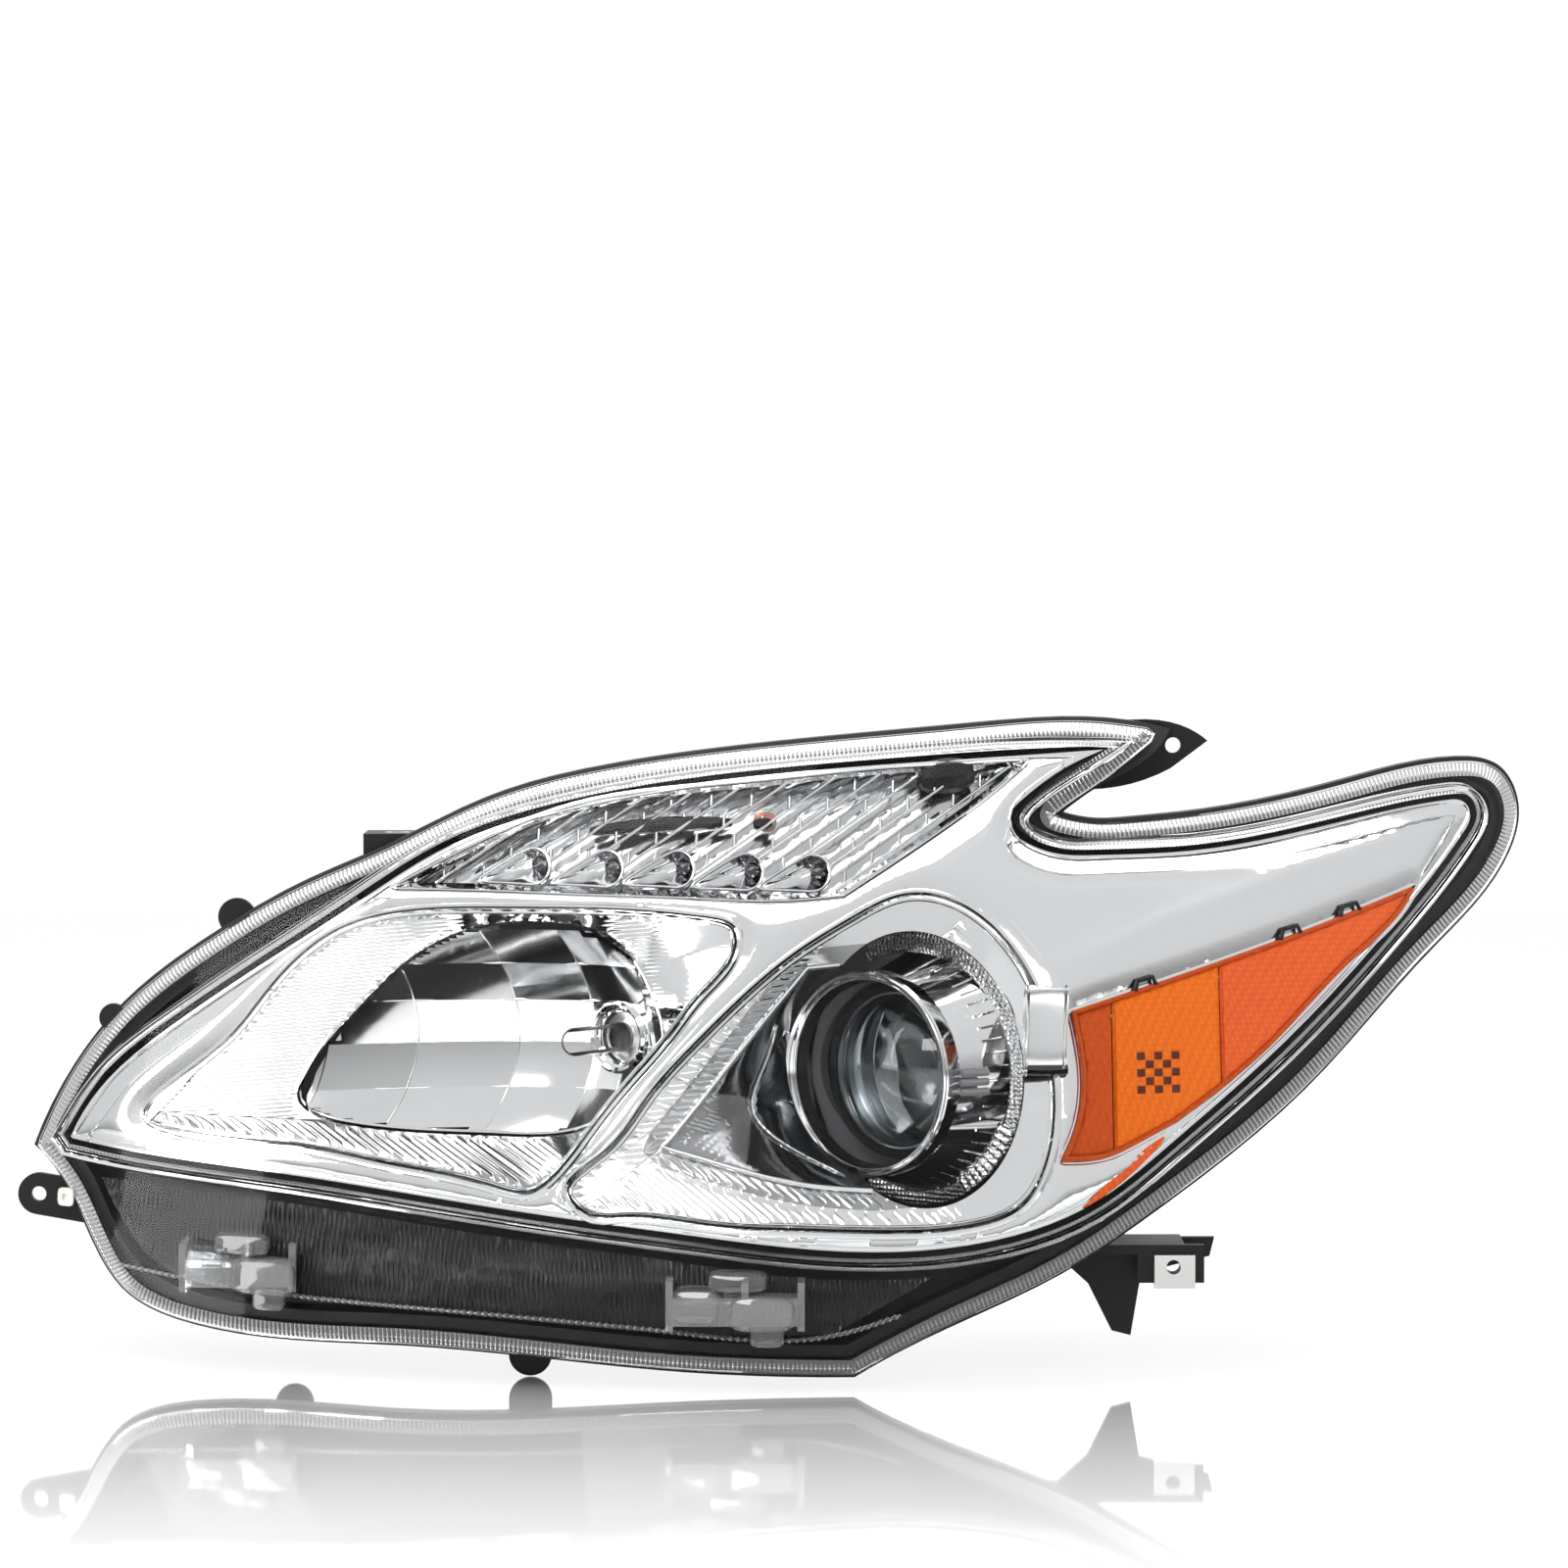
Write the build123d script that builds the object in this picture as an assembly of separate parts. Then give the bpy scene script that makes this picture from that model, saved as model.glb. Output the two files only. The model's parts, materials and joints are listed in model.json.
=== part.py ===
from build123d import *
import math
import os

# Left-hand car headlight assembly: a swept-back lamp with a clear stepped lens over a bright bezel,
# a tilting carrier with a projector low beam and a reflector high beam, a turn signal compartment, an
# amber side reflector with its marker lamp, and a black rear housing with caps, sockets and brackets.
#
# Two frames are used, both in millimetres with z up.  In the draw frame y is the direction in which the
# lens and the housing are drawn from their moulds, into the car, and x runs along the lamp from the
# grille tip to the fender tip.  In the row frame x is outboard, y is rearward and the beams leave along
# -y; the origin is the top of the upper bolt bush.  Parts are made in the draw frame and turned at export.

# ---- driving dimensions -------------------------------------------------------------------------
DRAW_ANGLE = 40.0        # mould draw direction, outboard of straight ahead, degrees
LEAN_BASE = -80.0        # height at which the lens starts to lean back
LENS_BOW = 450.0         # radius of the lens in plan at its crown
LENS_LEAN = (0.25, 0.0012)   # lens lean back, per mm and per mm squared above LEAN_BASE
REAR_BOW = 575.0         # radius of the housing's rear wall in plan
REAR_LEAN = (0.18, 0.0003)
REAR_DEPTH = 122.0       # rear wall behind the lens crown
SHEET = 3.0              # wall of the lens and the housing
STEP_BACK = 22.0         # from the lens face to its flange
RIM_LENGTH = 12.0        # length of the lens rim in the housing's channel
TRIM_DEPTH = 14.0        # from the lens face to the bezel
TRIM_WALL = 2.0          # wall of the bezel and of the reflectors
FAR = 520.0              # half size of the cutting blocks

LOW_BEAM = (34.0, 66.0, -17.0)       # centre of the projector trim ring's front edge
HIGH_BEAM = (-68.0, 97.0, -4.0)      # apex of the high beam paraboloid
HIGH_FOCUS = 26.0
TURN_BULB = (-8.0, 84.0)             # x and z of the turn signal socket
MARKER_BULB = (215.0, 10.0)          # x and z of the side marker socket
AIM_AXIS = (124.0, 44.0)             # y and z of the aiming pivots
PIVOTS_X = (-128.0, 18.0)
AIM_SCREW = (-100.0, -48.0)          # x and z of the aiming screw
CARRIER_Y = 114.0                    # front face of the carrier plate
CARRIER_THICK = 4.0
UPPER_BOLT = (-167.0, 150.0, 80.0)   # top of the bolt insert, the row origin
INSERT = (5.5, 3.0, 24.0)            # outer radius, M6 bore without its thread, and length

# Housing.
CHANNEL_FLOOR = STEP_BACK + RIM_LENGTH + 2
CHANNEL_GAP = 1.2                    # between the lens rim and the walls of the channel
CHANNEL_STEP = 14.0                  # from the channel's floor back to the housing's shoulder
SKIN = 0.5                           # the housing's side wall stands this far inside the lens face
LOW_BARREL = ((62.0, -68.0), (42.0, -162.0))     # radius, and end along the beam from LOW_BEAM
HIGH_BARREL = ((42.0, -112.0),)
LOW_PORT, HIGH_PORT = 33.0, 33.0     # radii of the holes that the caps close
TURN_PORT, MARKER_PORT = 15.0, 11.0
PORT_WALL = 5.0
TURN_BOSS_Y, MARKER_BOSS_Y = 170.0, 188.0
SCREW_BORE, SCREW_SEAT = 7.0, 144.5
LUG_THICK = 4.0
LUGS = [(-236, 142, 44, 8, -50, 16), (-290, 146, 0, 6, -45, 14), (-322, 142, -76, 9, -10, 26),
        (-208, 96, -125, 8, 90, 14), (-106, 55, -133, 9, 90, 16)]     # x, y, z, radius, angle, reach
INNER_TAB_HOLE = (-322, 142, -76, 3.2)           # x, y, z and radius
FORK_TAB = [[(136, 126), (150, 128), (168, 127), (184, 119)], [(184, 119), (168, 107)],
            [(168, 107), (150, 100), (126, 98)], [(126, 98), (136, 126)]]
FORK_TAB_Y = (163, 168)
FORK_HOLE = (169, 165.5, 117, 3.4)               # x, y, z and radius
NUT = (163, 62, -97, 3.0)                        # x, y, z and bore of the folded clip nut
VENT_PLACES = [(-150, 10), (90, 60)]

# Projector, along the beam from the trim ring's front edge.
TRIM_RING = (43.5, 39.5, 9.0)                    # outer radius, bore and length
SHROUD = ((43.0, -9.3), (52.0, -33.0))           # radius and place of each end of the shroud cone
HALO = (51.0, 58.5, 5.0)                         # inner radius, outer radius and thickness
PROJECTOR_FLANGE = -54.0
FLANGE_RADIUS = 44.0
HOLDER_LENGTH = 32.0                             # from the flange to the front of the glass lens's edge
GLASS_RADIUS = 35.0
GLASS_RISE = 14.0
SCREW_CIRCLE = 40.4

# Turn signal compartment.
POD_PLACES = [(-108, 68), (-77, 67.5), (-47, 67.5), (-18, 66.5), (10, 66)]
POD_RADIUS = 9.0
BEAD_RADIUS = 4.2

# Carrier and high beam bowl.
BALL = 4.0                           # radius of the pivot balls
BALL_GAP = 0.4
HIGH_ACCESS = 33.0
HIGH_POSTS = [(-116, 34), (-82, 37), (-104, -33)]
BOWL_WALL = 2.5
BULB_HOLE = 11.5

# Bulbs, sockets and caps.
TWIST = 45.0                         # from locked to free
HIGH_SEAT, LOW_SEAT = -10.0, -115.0  # rear rims of the two necks, along each beam
HIGH_NECK, LOW_NECK = 10.9, 12.4
LOW_GLASS, HIGH_GLASS = 34.0, 38.0   # lengths of the glass capsules
CAPSULE = 6.0
BASE_FRONT = 8.5                     # of a bulb's base, ahead of the neck's rear rim
SEAL_THICK = 2.2
SEAL_GAP = 0.35                      # left between a seal and the rim it will meet
TURN_LAMP, MARKER_LAMP = (24.0, 7.6, 46.0), (46.0, 5.0, 32.0)     # neck, bulb radius, bulb reach
LOW_CAP_AT, HIGH_CAP_AT = LOW_BARREL[-1][1], HIGH_BARREL[-1][1]

# ---- outlines, seen along the draw direction: (x, z) -------------------------------------------
# The lens face: the long top edge, then the fork, the fender arm and the bottom ridge.
FACE_TOP = [(-314, -50), (-293, -19), (-265, 4), (-230, 28), (-187, 56), (-147, 81), (-99, 98),
            (-41, 109), (41, 117), (110, 121), (150, 120)]
FACE_FORK = [(150, 120), (127, 106), (108, 94), (103, 88), (110, 82), (132, 79), (173, 80),
             (244, 91), (290, 98), (303, 96), (308, 86), (302, 74), (267, 37), (212, -13),
             (163, -51), (131, -73), (89, -87), (29, -91), (-43, -84), (-104, -77), (-211, -65),
             (-286, -59), (-309, -56)]
FACE = [FACE_TOP, FACE_FORK, [(-309, -56), (-314, -50)]]
# The flange and rim that meet the housing, with the skirt below the bottom ridge.
RIM_TOP = [(-320, -55), (-307, -28), (-282, 4), (-244, 33), (-204, 56), (-170, 71), (-126, 92),
           (-74, 106), (0, 116), (80, 123), (135, 125), (158, 122)]
RIM_FORK = [(158, 122), (134, 105), (118, 95), (112, 89), (120, 85), (147, 83), (174, 85),
            (246, 97), (300, 105), (316, 101), (322, 88), (317, 71), (276, 30), (221, -21),
            (154, -69), (114, -93), (66, -114), (28, -133)]
RIM_SKIRT = [(28, -133), (-43, -131), (-157, -124), (-249, -121), (-279, -110), (-307, -68),
             (-320, -55)]
RIM = [RIM_TOP, RIM_FORK, RIM_SKIRT]
# Openings in the bezel.
HIGH_OPENING = [[(-271, -41), (-244, -12), (-218, 17), (-192, 40), (-158, 50), (-116, 52), (-74, 52),
                 (-33, 49), (-20, 44), (-20, 35), (-33, 18), (-49, -2), (-65, -20), (-81, -40),
                 (-95, -57), (-104, -63), (-122, -61), (-164, -54), (-206, -48), (-262, -44),
                 (-271, -41)]]
LOW_OPENING = [[(66, 57), (51, 58), (29, 49), (4, 34), (-16, 18), (-37, -2), (-57, -24), (-75, -46),
                (-90, -63), (-84, -70), (-65, -72), (-32, -75), (8, -77), (48, -78), (78, -76),
                (99, -68), (110, -50), (113, -17), (106, 17), (87, 45), (66, 57)]]
TURN_OPENING = [[(-166, 59), (-125, 80), (-83, 95), (-42, 101), (0, 105), (42, 109), (83, 111),
                 (104, 112)], [(104, 112), (93, 103), (66, 84), (41, 68), (25, 58)],
                [(25, 58), (0, 56), (-41, 57), (-82, 58), (-124, 59), (-166, 59)]]
AMBER_OPENING = [[(120, 10), (165, 23), (222, 40), (274, 57)],
                 [(274, 57), (267, 47), (243, 27), (206, -6), (164, -36)],
                 [(164, -36), (149, -43), (134, -49), (115, -50)],
                 [(115, -50), (121, -37), (124, -21), (123, -5), (120, 10)]]
AMBER_TAIL = [[(151, -46), (158, -42), (143, -57), (124, -69)], [(124, -69), (136, -58), (151, -46)]]
# The high beam bowl's edge and the ribbed trim behind the skirt.
BOWL_EDGE = [[(-205, -30), (-183, 6), (-158, 30), (-132, 43), (-100, 46), (-72, 40), (-55, 18),
              (-50, -6), (-62, -24), (-84, -38), (-120, -41), (-170, -40), (-205, -30)]]
SKIRT_TRIM = [[(-293, -67), (-211, -72), (-104, -84), (-43, -91), (29, -98), (62, -97)],
              [(62, -97), (20, -120)],
              [(20, -120), (-43, -120), (-157, -113), (-240, -109), (-268, -100), (-293, -67)]]


# ---- helpers ------------------------------------------------------------------------------------
def graph_solid(depth, bow=LENS_BOW, lean=LENS_LEAN, thickness=FAR):
    """A block behind the surface y = depth + x^2/(2 bow) + lean of z, which is one Bezier patch."""
    low_x, high_x = -FAR, FAR
    low_h, high_h = -FAR / 2, FAR / 2
    xs = (low_x, 0.0, high_x)
    x_squared = (low_x * low_x, low_x * high_x, high_x * high_x)
    hs = (low_h, (low_h + high_h) / 2, high_h)
    h_squared = (low_h * low_h, low_h * high_h, high_h * high_h)
    rows = []
    for i in range(3):
        row = []
        for j in range(3):
            y = depth + x_squared[i] / (2 * bow) + lean[0] * hs[j] + lean[1] * h_squared[j]
            row.append((xs[i], y, hs[j] + LEAN_BASE))
        rows.append(row)
    return Solid.extrude(Face.make_bezier_surface(rows), Vector(0, thickness, 0))


def lens_y(x, z):
    """Depth of the lens face at a point."""
    h = z - LEAN_BASE
    return x * x / (2 * LENS_BOW) + LENS_LEAN[0] * h + LENS_LEAN[1] * h * h


def rear_y(x, z):
    """Depth of the housing's rear face at a point."""
    h = z - LEAN_BASE
    return REAR_DEPTH + x * x / (2 * REAR_BOW) + REAR_LEAN[0] * h + REAR_LEAN[1] * h * h


def moved_out(runs, distance):
    """The outline with each point moved outwards by distance (inwards if it is negative)."""
    flat = [p for run in runs for p in run[:-1]]
    count = len(flat)
    area = sum(flat[i - 1][0] * flat[i][1] - flat[i][0] * flat[i - 1][1] for i in range(count))
    side = 1 if area > 0 else -1
    moved = []
    for i, (x, z) in enumerate(flat):
        (x0, z0), (x1, z1) = flat[i - 1], flat[(i + 1) % count]
        a = math.atan2(z - z0, x - x0)
        b = math.atan2(z1 - z, x1 - x)
        half_turn = math.remainder(b - a, 2 * math.pi) / 2
        reach = side * distance / max(0.45, math.cos(half_turn))
        moved.append((x + reach * math.sin(a + half_turn), z - reach * math.cos(a + half_turn)))
    result, start = [], 0
    for run in runs:
        stop = start + len(run) - 1
        result.append([moved[i % count] for i in range(start, stop + 1)])
        start = stop
    return result


def prism(runs, low=-FAR / 2, high=FAR):
    """The outline drawn out along y. A run of two points is straight, a longer one is a spline."""
    edges = []
    for run in runs:
        points = [Vector(x, low, z) for x, z in run]
        closed = len(runs) == 1
        if len(points) == 2:
            edges.append(Edge.make_line(*points))
        elif closed:
            edges.append(Edge.make_spline(points[:-1], periodic=True))
        else:
            edges.append(Edge.make_spline(points))
    return Solid.extrude(Face(Wire(edges)), Vector(0, high - low, 0))


def between(shape, near, far):
    """The part of a shape that lies from near to far behind the lens face."""
    return shape & graph_solid(near, thickness=far - near)


def straight_ahead(x, y, z):
    """A place in the draw frame whose own z axis is the beam direction and whose own y is up."""
    return Pos(x, y, z) * Rot(0, 0, -DRAW_ANGLE) * Rot(90, 0, 0)


def turned(profile):
    """A solid of revolution about z from (radius, z) points."""
    points = [Vector(r, 0, z) for r, z in profile]
    edges = [Edge.make_line(a, b) for a, b in zip(points, points[1:] + points[:1])]
    return Solid.revolve(Face(Wire(edges)), 360, Axis.Z)


def rod(radius, low, high):
    """A cylinder on z from low to high."""
    return Pos(0, 0, low) * Cylinder(radius, high - low, align=(Align.CENTER, Align.CENTER, Align.MIN))


def tube(outer, inner, low, high):
    return rod(outer, low, high) - rod(inner, low - 1, high + 1)


def bar(x, y, z):
    """A box from its three (low, high) pairs."""
    size = (x[1] - x[0], y[1] - y[0], z[1] - z[0])
    centre = ((x[0] + x[1]) / 2, (y[0] + y[1]) / 2, (z[0] + z[1]) / 2)
    return Pos(*centre) * Box(*size)


def from_behind(x, z, y=0.0):
    """A place whose own z axis points rearward along the draw direction."""
    return Pos(x, y, z) * Rot(-90, 0, 0)


def ring_of(shape, count, radius, start=0.0):
    """Copies of a shape set round z."""
    return [Rot(0, 0, start + 360 * i / count) * Pos(radius, 0, 0) * shape for i in range(count)]


# ---- lens ---------------------------------------------------------------------------------------
def make_lens():
    outer = between(prism(FACE), 0, FAR / 2) + between(prism(RIM), STEP_BACK, FAR / 2)
    inner = (between(prism(moved_out(FACE, -SHEET)), SHEET, FAR / 2 + 9)
             + between(prism(moved_out(RIM, -SHEET)), STEP_BACK + SHEET, FAR / 2 + 9))
    return outer - inner - graph_solid(STEP_BACK + RIM_LENGTH)


def make_lens_bracket(x, z, width):
    """A clear bumper clip moulded as a hooked shelf on the skirt."""
    front = lens_y(x, z) + STEP_BACK
    shelf = bar((x - width / 2, x + width / 2), (front - 17, front + 12), (z - 5, z - 1.5))
    back = bar((x - width / 2, x + width / 2), (front - 17, front - 14), (z - 13, z - 1.5))
    ribs = [bar((x + s * width / 2 - 1.5, x + s * width / 2 + 1.5), (front - 17, front + 12),
                (z - 15, z + 5)) for s in (-1, 0.15, 1)]
    bracket = shelf + back
    for rib in ribs:
        bracket += rib
    bracket -= bar((x - width / 4 - 4, x - width / 4 + 4), (front - 12, front - 4), (z - 20, z + 9))
    return bracket - graph_solid(STEP_BACK)


# ---- housing ------------------------------------------------------------------------------------
def rear_block(depth):
    return graph_solid(REAR_DEPTH + depth, REAR_BOW, REAR_LEAN)


def barrel(place, stages, grow, floor):
    """The barrel behind a beam: stages of falling radius, grown by grow, with its end moved by floor."""
    solid = None
    start = 0.0
    for radius, end in stages:
        stage = straight_ahead(*place) * rod(radius + grow, end + floor, start)
        solid = stage if solid is None else solid + stage
        start = end + floor + 10
    return solid


def draw_hole(x, y, z, radius):
    """A cutter for a hole through a tab, along the draw direction."""
    return Pos(x, y, z) * Rot(90, 0, 0) * Cylinder(radius, 20)


def bolt_lug(x, y, z, radius, turn, reach):
    """A flat lug with a rounded end, lying in the draw plane and reaching out at an angle."""
    half = LUG_THICK / 2
    plate = bar((0, reach), (-half, half), (-radius, radius)) + Rot(90, 0, 0) * rod(radius, -half, half)
    return Pos(x, y, z) * Rot(0, -turn, 0) * plate


def make_housing():
    rim_out, rim_in = moved_out(RIM, 4.5), moved_out(RIM, -8.5)
    cup = moved_out(FACE, -SKIN)
    shoulder = CHANNEL_FLOOR + CHANNEL_STEP
    outer = between(prism(rim_out), STEP_BACK + 6, CHANNEL_FLOOR + SHEET)
    outer += between(prism(moved_out(RIM, -1)), CHANNEL_FLOOR, shoulder)
    outer += between(prism(cup), CHANNEL_FLOOR, FAR / 2) - rear_block(0)
    low = barrel(LOW_BEAM, LOW_BARREL, 0, 0) & graph_solid(shoulder)
    high = barrel(HIGH_BEAM, HIGH_BARREL, 0, 0) & graph_solid(shoulder)
    outer = outer + low + high
    outer += from_behind(TURN_BULB[0], TURN_BULB[1]) * rod(TURN_PORT + PORT_WALL, 125, TURN_BOSS_Y)
    outer += from_behind(MARKER_BULB[0], MARKER_BULB[1]) * rod(MARKER_PORT + PORT_WALL, 150, MARKER_BOSS_Y)
    outer += housing_brackets()
    outer += make_lower_bracket()

    inner = between(prism(rim_in), 0, shoulder - SHEET)
    inner += between(prism(moved_out(cup, -SHEET)), 0, FAR / 2) - rear_block(-SHEET)
    inner += barrel(LOW_BEAM, LOW_BARREL, -SHEET, SHEET)
    inner += barrel(HIGH_BEAM, HIGH_BARREL, -SHEET, SHEET)
    groove = prism(moved_out(RIM, CHANNEL_GAP)) - prism(moved_out(RIM, -SHEET - CHANNEL_GAP))
    housing = outer - inner - between(groove, 0, CHANNEL_FLOOR)
    ports = [straight_ahead(*LOW_BEAM) * rod(LOW_PORT, -190, -100),
             straight_ahead(*HIGH_BEAM) * rod(HIGH_PORT, -140, -90),
             from_behind(*TURN_BULB) * rod(TURN_PORT, 100, 200),
             from_behind(*MARKER_BULB) * rod(MARKER_PORT, 120, 220),
             from_behind(*AIM_SCREW) * rod(SCREW_BORE, 100, 160)]
    for x in PIVOTS_X:
        housing += pivot_post(x)
    housing += from_behind(*AIM_SCREW) * rod(SCREW_BORE + 3.5, 132.5, SCREW_SEAT)
    for port in ports:
        housing -= port
    for x in PIVOTS_X:
        housing -= from_behind(x, AIM_AXIS[1]) * rod(3.0, 100, rear_y(x, AIM_AXIS[1]) - 1.5)
    x, y, z = UPPER_BOLT
    housing += bar((x - 14, x + 15), (y - 14, y + 15), (z - INSERT[2] - 6, z))
    return housing - Pos(x, y, z) * rod(INSERT[0], -INSERT[2], 5)


def pivot_post(x):
    """The boss inside the rear wall that holds a pivot stud's shank."""
    back = rear_y(x, AIM_AXIS[1]) - 1
    return from_behind(x, AIM_AXIS[1]) * rod(6.0, AIM_AXIS[0] + 10, back)


def housing_brackets():
    """Lugs and tabs round the housing, each rooted in its wall."""
    solid = prism(FORK_TAB, *FORK_TAB_Y) - draw_hole(*FORK_HOLE)
    for lug in LUGS:
        solid += bolt_lug(*lug)
    return solid - draw_hole(*INNER_TAB_HOLE)


def make_sealant():
    ring = prism(moved_out(RIM, CHANNEL_GAP - 0.1)) - prism(moved_out(RIM, -SHEET - CHANNEL_GAP + 0.1))
    return between(ring, STEP_BACK + RIM_LENGTH, CHANNEL_FLOOR)


def make_lower_bracket():
    """The bracket under the fender side, with its foot and the plate that the clip nut grips."""
    top = bar((112, 168), (60, 96), (-92, -88))
    web = prism([[(108, -88), (150, -88)], [(150, -88), (150, -104)], [(150, -104), (146, -128)],
                 [(146, -128), (138, -126)], [(138, -126), (128, -106)], [(128, -106), (108, -88)]],
                74, 79)
    x, y, z, bore = NUT
    plate = bar((148, 176), (y - 2, y + 2), (-104, -88)) - draw_hole(x, y, z, bore + 0.4)
    end = prism([[(148, -88), (182, -88)], [(182, -88), (180, -96)], [(180, -96), (148, -104)],
                 [(148, -104), (148, -88)]], 86, 90)
    return top + web + plate + end


def make_clip_nut():
    """A folded steel nut pushed up over the bracket's plate."""
    x, y, z, _ = NUT
    outer = bar((x - 8, x + 9), (y - 5, y + 5), (z - 9, z + 5))
    gap = bar((x - 9, x + 10), (y - 2.1, y + 2.1), (z - 7.1, z + 17))
    return outer - gap - draw_hole(*NUT)


# ---- bezel and the fixed optics -----------------------------------------------------------------
def make_bezel():
    sheet = between(prism(moved_out(FACE, -6)), TRIM_DEPTH, TRIM_DEPTH + TRIM_WALL)
    collars = [(HIGH_OPENING, 9), (LOW_OPENING, 12), (TURN_OPENING, 9), (AMBER_OPENING, 7)]
    for runs, depth in collars:
        sheet += between(prism(moved_out(runs, TRIM_WALL)), TRIM_DEPTH, TRIM_DEPTH + depth)
    for runs, _ in collars:
        sheet -= prism(runs)
    sheet -= prism(AMBER_TAIL)
    floor = prism(moved_out(HIGH_OPENING, 1)) - prism(moved_out(BOWL_EDGE, 2.5))
    return sheet + between(floor, TRIM_DEPTH + 7, TRIM_DEPTH + 9)


def make_low_pocket():
    """The ribbed triangular floor round the projector's shroud."""
    floor = between(prism(moved_out(LOW_OPENING, -0.3)), TRIM_DEPTH + 10, TRIM_DEPTH + 12)
    return floor - straight_ahead(*LOW_BEAM) * rod(HALO[1] + 0.4, -60, 90)


def before_carrier(shape):
    """The part of a shape that stays clear of the tilting carrier."""
    return shape & bar((-FAR, FAR), (-FAR, CARRIER_Y - 6), (-FAR, FAR))


def make_trim_ring():
    outer, bore, length = TRIM_RING
    profile = [(bore, -length), (bore, -3), (bore + 1.6, 0), (outer - 1.2, 0), (outer, -1.6),
               (outer, -length)]
    return straight_ahead(*LOW_BEAM) * turned(profile)


def make_shroud():
    (r0, z0), (r1, z1) = SHROUD
    profile = [(r0, z0), (r1, z1), (r1 - 2.2, z1 - 0.6), (r0 - 2.2, z0)]
    return before_carrier(straight_ahead(*LOW_BEAM) * turned(profile))


def make_halo_ring():
    inner, outer, thick = HALO
    top = SHROUD[1][1] - 0.9
    ring = turned([(inner, top), (outer - 1, top), (outer, top - 1), (outer, top - thick),
                   (inner, top - thick)])
    return before_carrier(straight_ahead(*LOW_BEAM) * ring)


def make_lower_trim():
    return between(prism(SKIRT_TRIM), STEP_BACK + SHEET + 3, STEP_BACK + SHEET + 5.5)


def make_amber_reflector():
    pieces = prism(moved_out(AMBER_OPENING, -0.5)) + prism(moved_out(AMBER_TAIL, -0.3))
    return between(pieces, TRIM_DEPTH - 1, TRIM_DEPTH + 1.8)


def make_marker_reflector():
    dish = between(prism(moved_out(AMBER_OPENING, -2)), TRIM_DEPTH + 20, TRIM_DEPTH + 22)
    return dish - from_behind(*MARKER_BULB) * rod(MARKER_PORT + 1, 60, 220)


def make_turn_reflector():
    dish = between(prism(moved_out(TURN_OPENING, -1)), TRIM_DEPTH + 24, TRIM_DEPTH + 26)
    return dish - from_behind(*TURN_BULB) * rod(TURN_PORT - 2, 60, 220)


def make_turn_inner_lens():
    return between(prism(moved_out(TURN_OPENING, -0.5)), TRIM_DEPTH + 4, TRIM_DEPTH + 6) - pods_block(13.5)


def pods_block(radius):
    solid = None
    for x, z in POD_PLACES:
        piece = Pos(x, lens_y(x, z) + TRIM_DEPTH, z) * Rot(90, 0, 0) * Cylinder(radius * 0.72, 60)
        solid = piece if solid is None else solid + piece
    return solid


def pod_place(x, z):
    return straight_ahead(x, lens_y(x, z) + TRIM_DEPTH + 9, z)


def make_accent_cups():
    cup = turned([(0, -8), (5, -7), (8, 0), (POD_RADIUS, 3), (POD_RADIUS, 1.4), (6.6, -6.8), (4, -9.5),
                  (0, -9.5)])
    return [pod_place(x, z) * cup for x, z in POD_PLACES]


def make_accent_beads():
    bead = Pos(0, 0, -3.4) * Sphere(BEAD_RADIUS)
    return [pod_place(x, z) * bead for x, z in POD_PLACES]


# ---- carrier: what tilts when the beams are aimed ------------------------------------------------
def make_carrier():
    """An oblique plate across the lamp, with a cheek square to the beam that carries the projector."""
    plate = bar((-140, 90), (CARRIER_Y, CARRIER_Y + CARRIER_THICK), (-66, 52))
    plate -= bar((-150, -113), (100, 130), (-70, -14))
    plate -= bar((-150, -10), (100, 130), (-70, -60))
    low = straight_ahead(*LOW_BEAM)
    cheek_back, cheek_front = PROJECTOR_FLANGE - 7, PROJECTOR_FLANGE - 3.5
    plate -= low * rod(FLANGE_RADIUS + 1, cheek_front, 40)
    plate -= low * bar((-200, 200), (-200, 200), (-300, cheek_back))
    frame = plate + low * rod(FLANGE_RADIUS + 4, cheek_back, cheek_front)
    frame -= low * rod(36.4, -120, -20)
    frame -= straight_ahead(*HIGH_BEAM) * rod(HIGH_ACCESS, -70, 12)
    for hole in screw_places():
        frame -= hole * rod(1.95, -20, 5)
    for x in PIVOTS_X:
        frame -= from_behind(x, AIM_AXIS[1]) * rod(7.0, 100, 130)
    frame -= from_behind(*AIM_SCREW) * rod(7.0, 100, 130)
    behind_bowl = straight_ahead(*HIGH_BEAM) * bowl_block(BOWL_WALL)
    for x, z in HIGH_POSTS:
        frame += from_behind(x, z) * rod(4.0, 60, CARRIER_Y + 1) - behind_bowl
    return frame


def bowl_block(back, top=200):
    """Everything in front of the paraboloid, or of its rear face if back is the wall."""
    steps = [(r, r * r / (4 * HIGH_FOCUS)) for r in range(0, 121, 12)]
    curve = Edge.make_spline([Vector(r, 0, z - back) for r, z in steps])
    last_r, last_z = steps[-1]
    lid = Edge.make_line(Vector(last_r, 0, last_z - back), Vector(0, 0, top))
    axis = Edge.make_line(Vector(0, 0, top), Vector(0, 0, -back))
    return Solid.revolve(Face(Wire([curve, lid, axis])), 360, Axis.Z)


def bulb_neck(outer, neck, rear, length):
    """A reflector's neck: a rear lip with three slots, then the groove that the bulb's lugs turn in."""
    bore = rod(neck + 0.1, rear - 1, rear + length + 1) + rod(neck + 3.6, rear + 2, rear + 6.5)
    for slot in ring_of(bar((-4, 3.6), (-3.6, 3.6), (rear - 1, rear + 3)), 3, neck, start=30 + TWIST):
        bore += slot
    return rod(outer, rear, rear + length), bore


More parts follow.
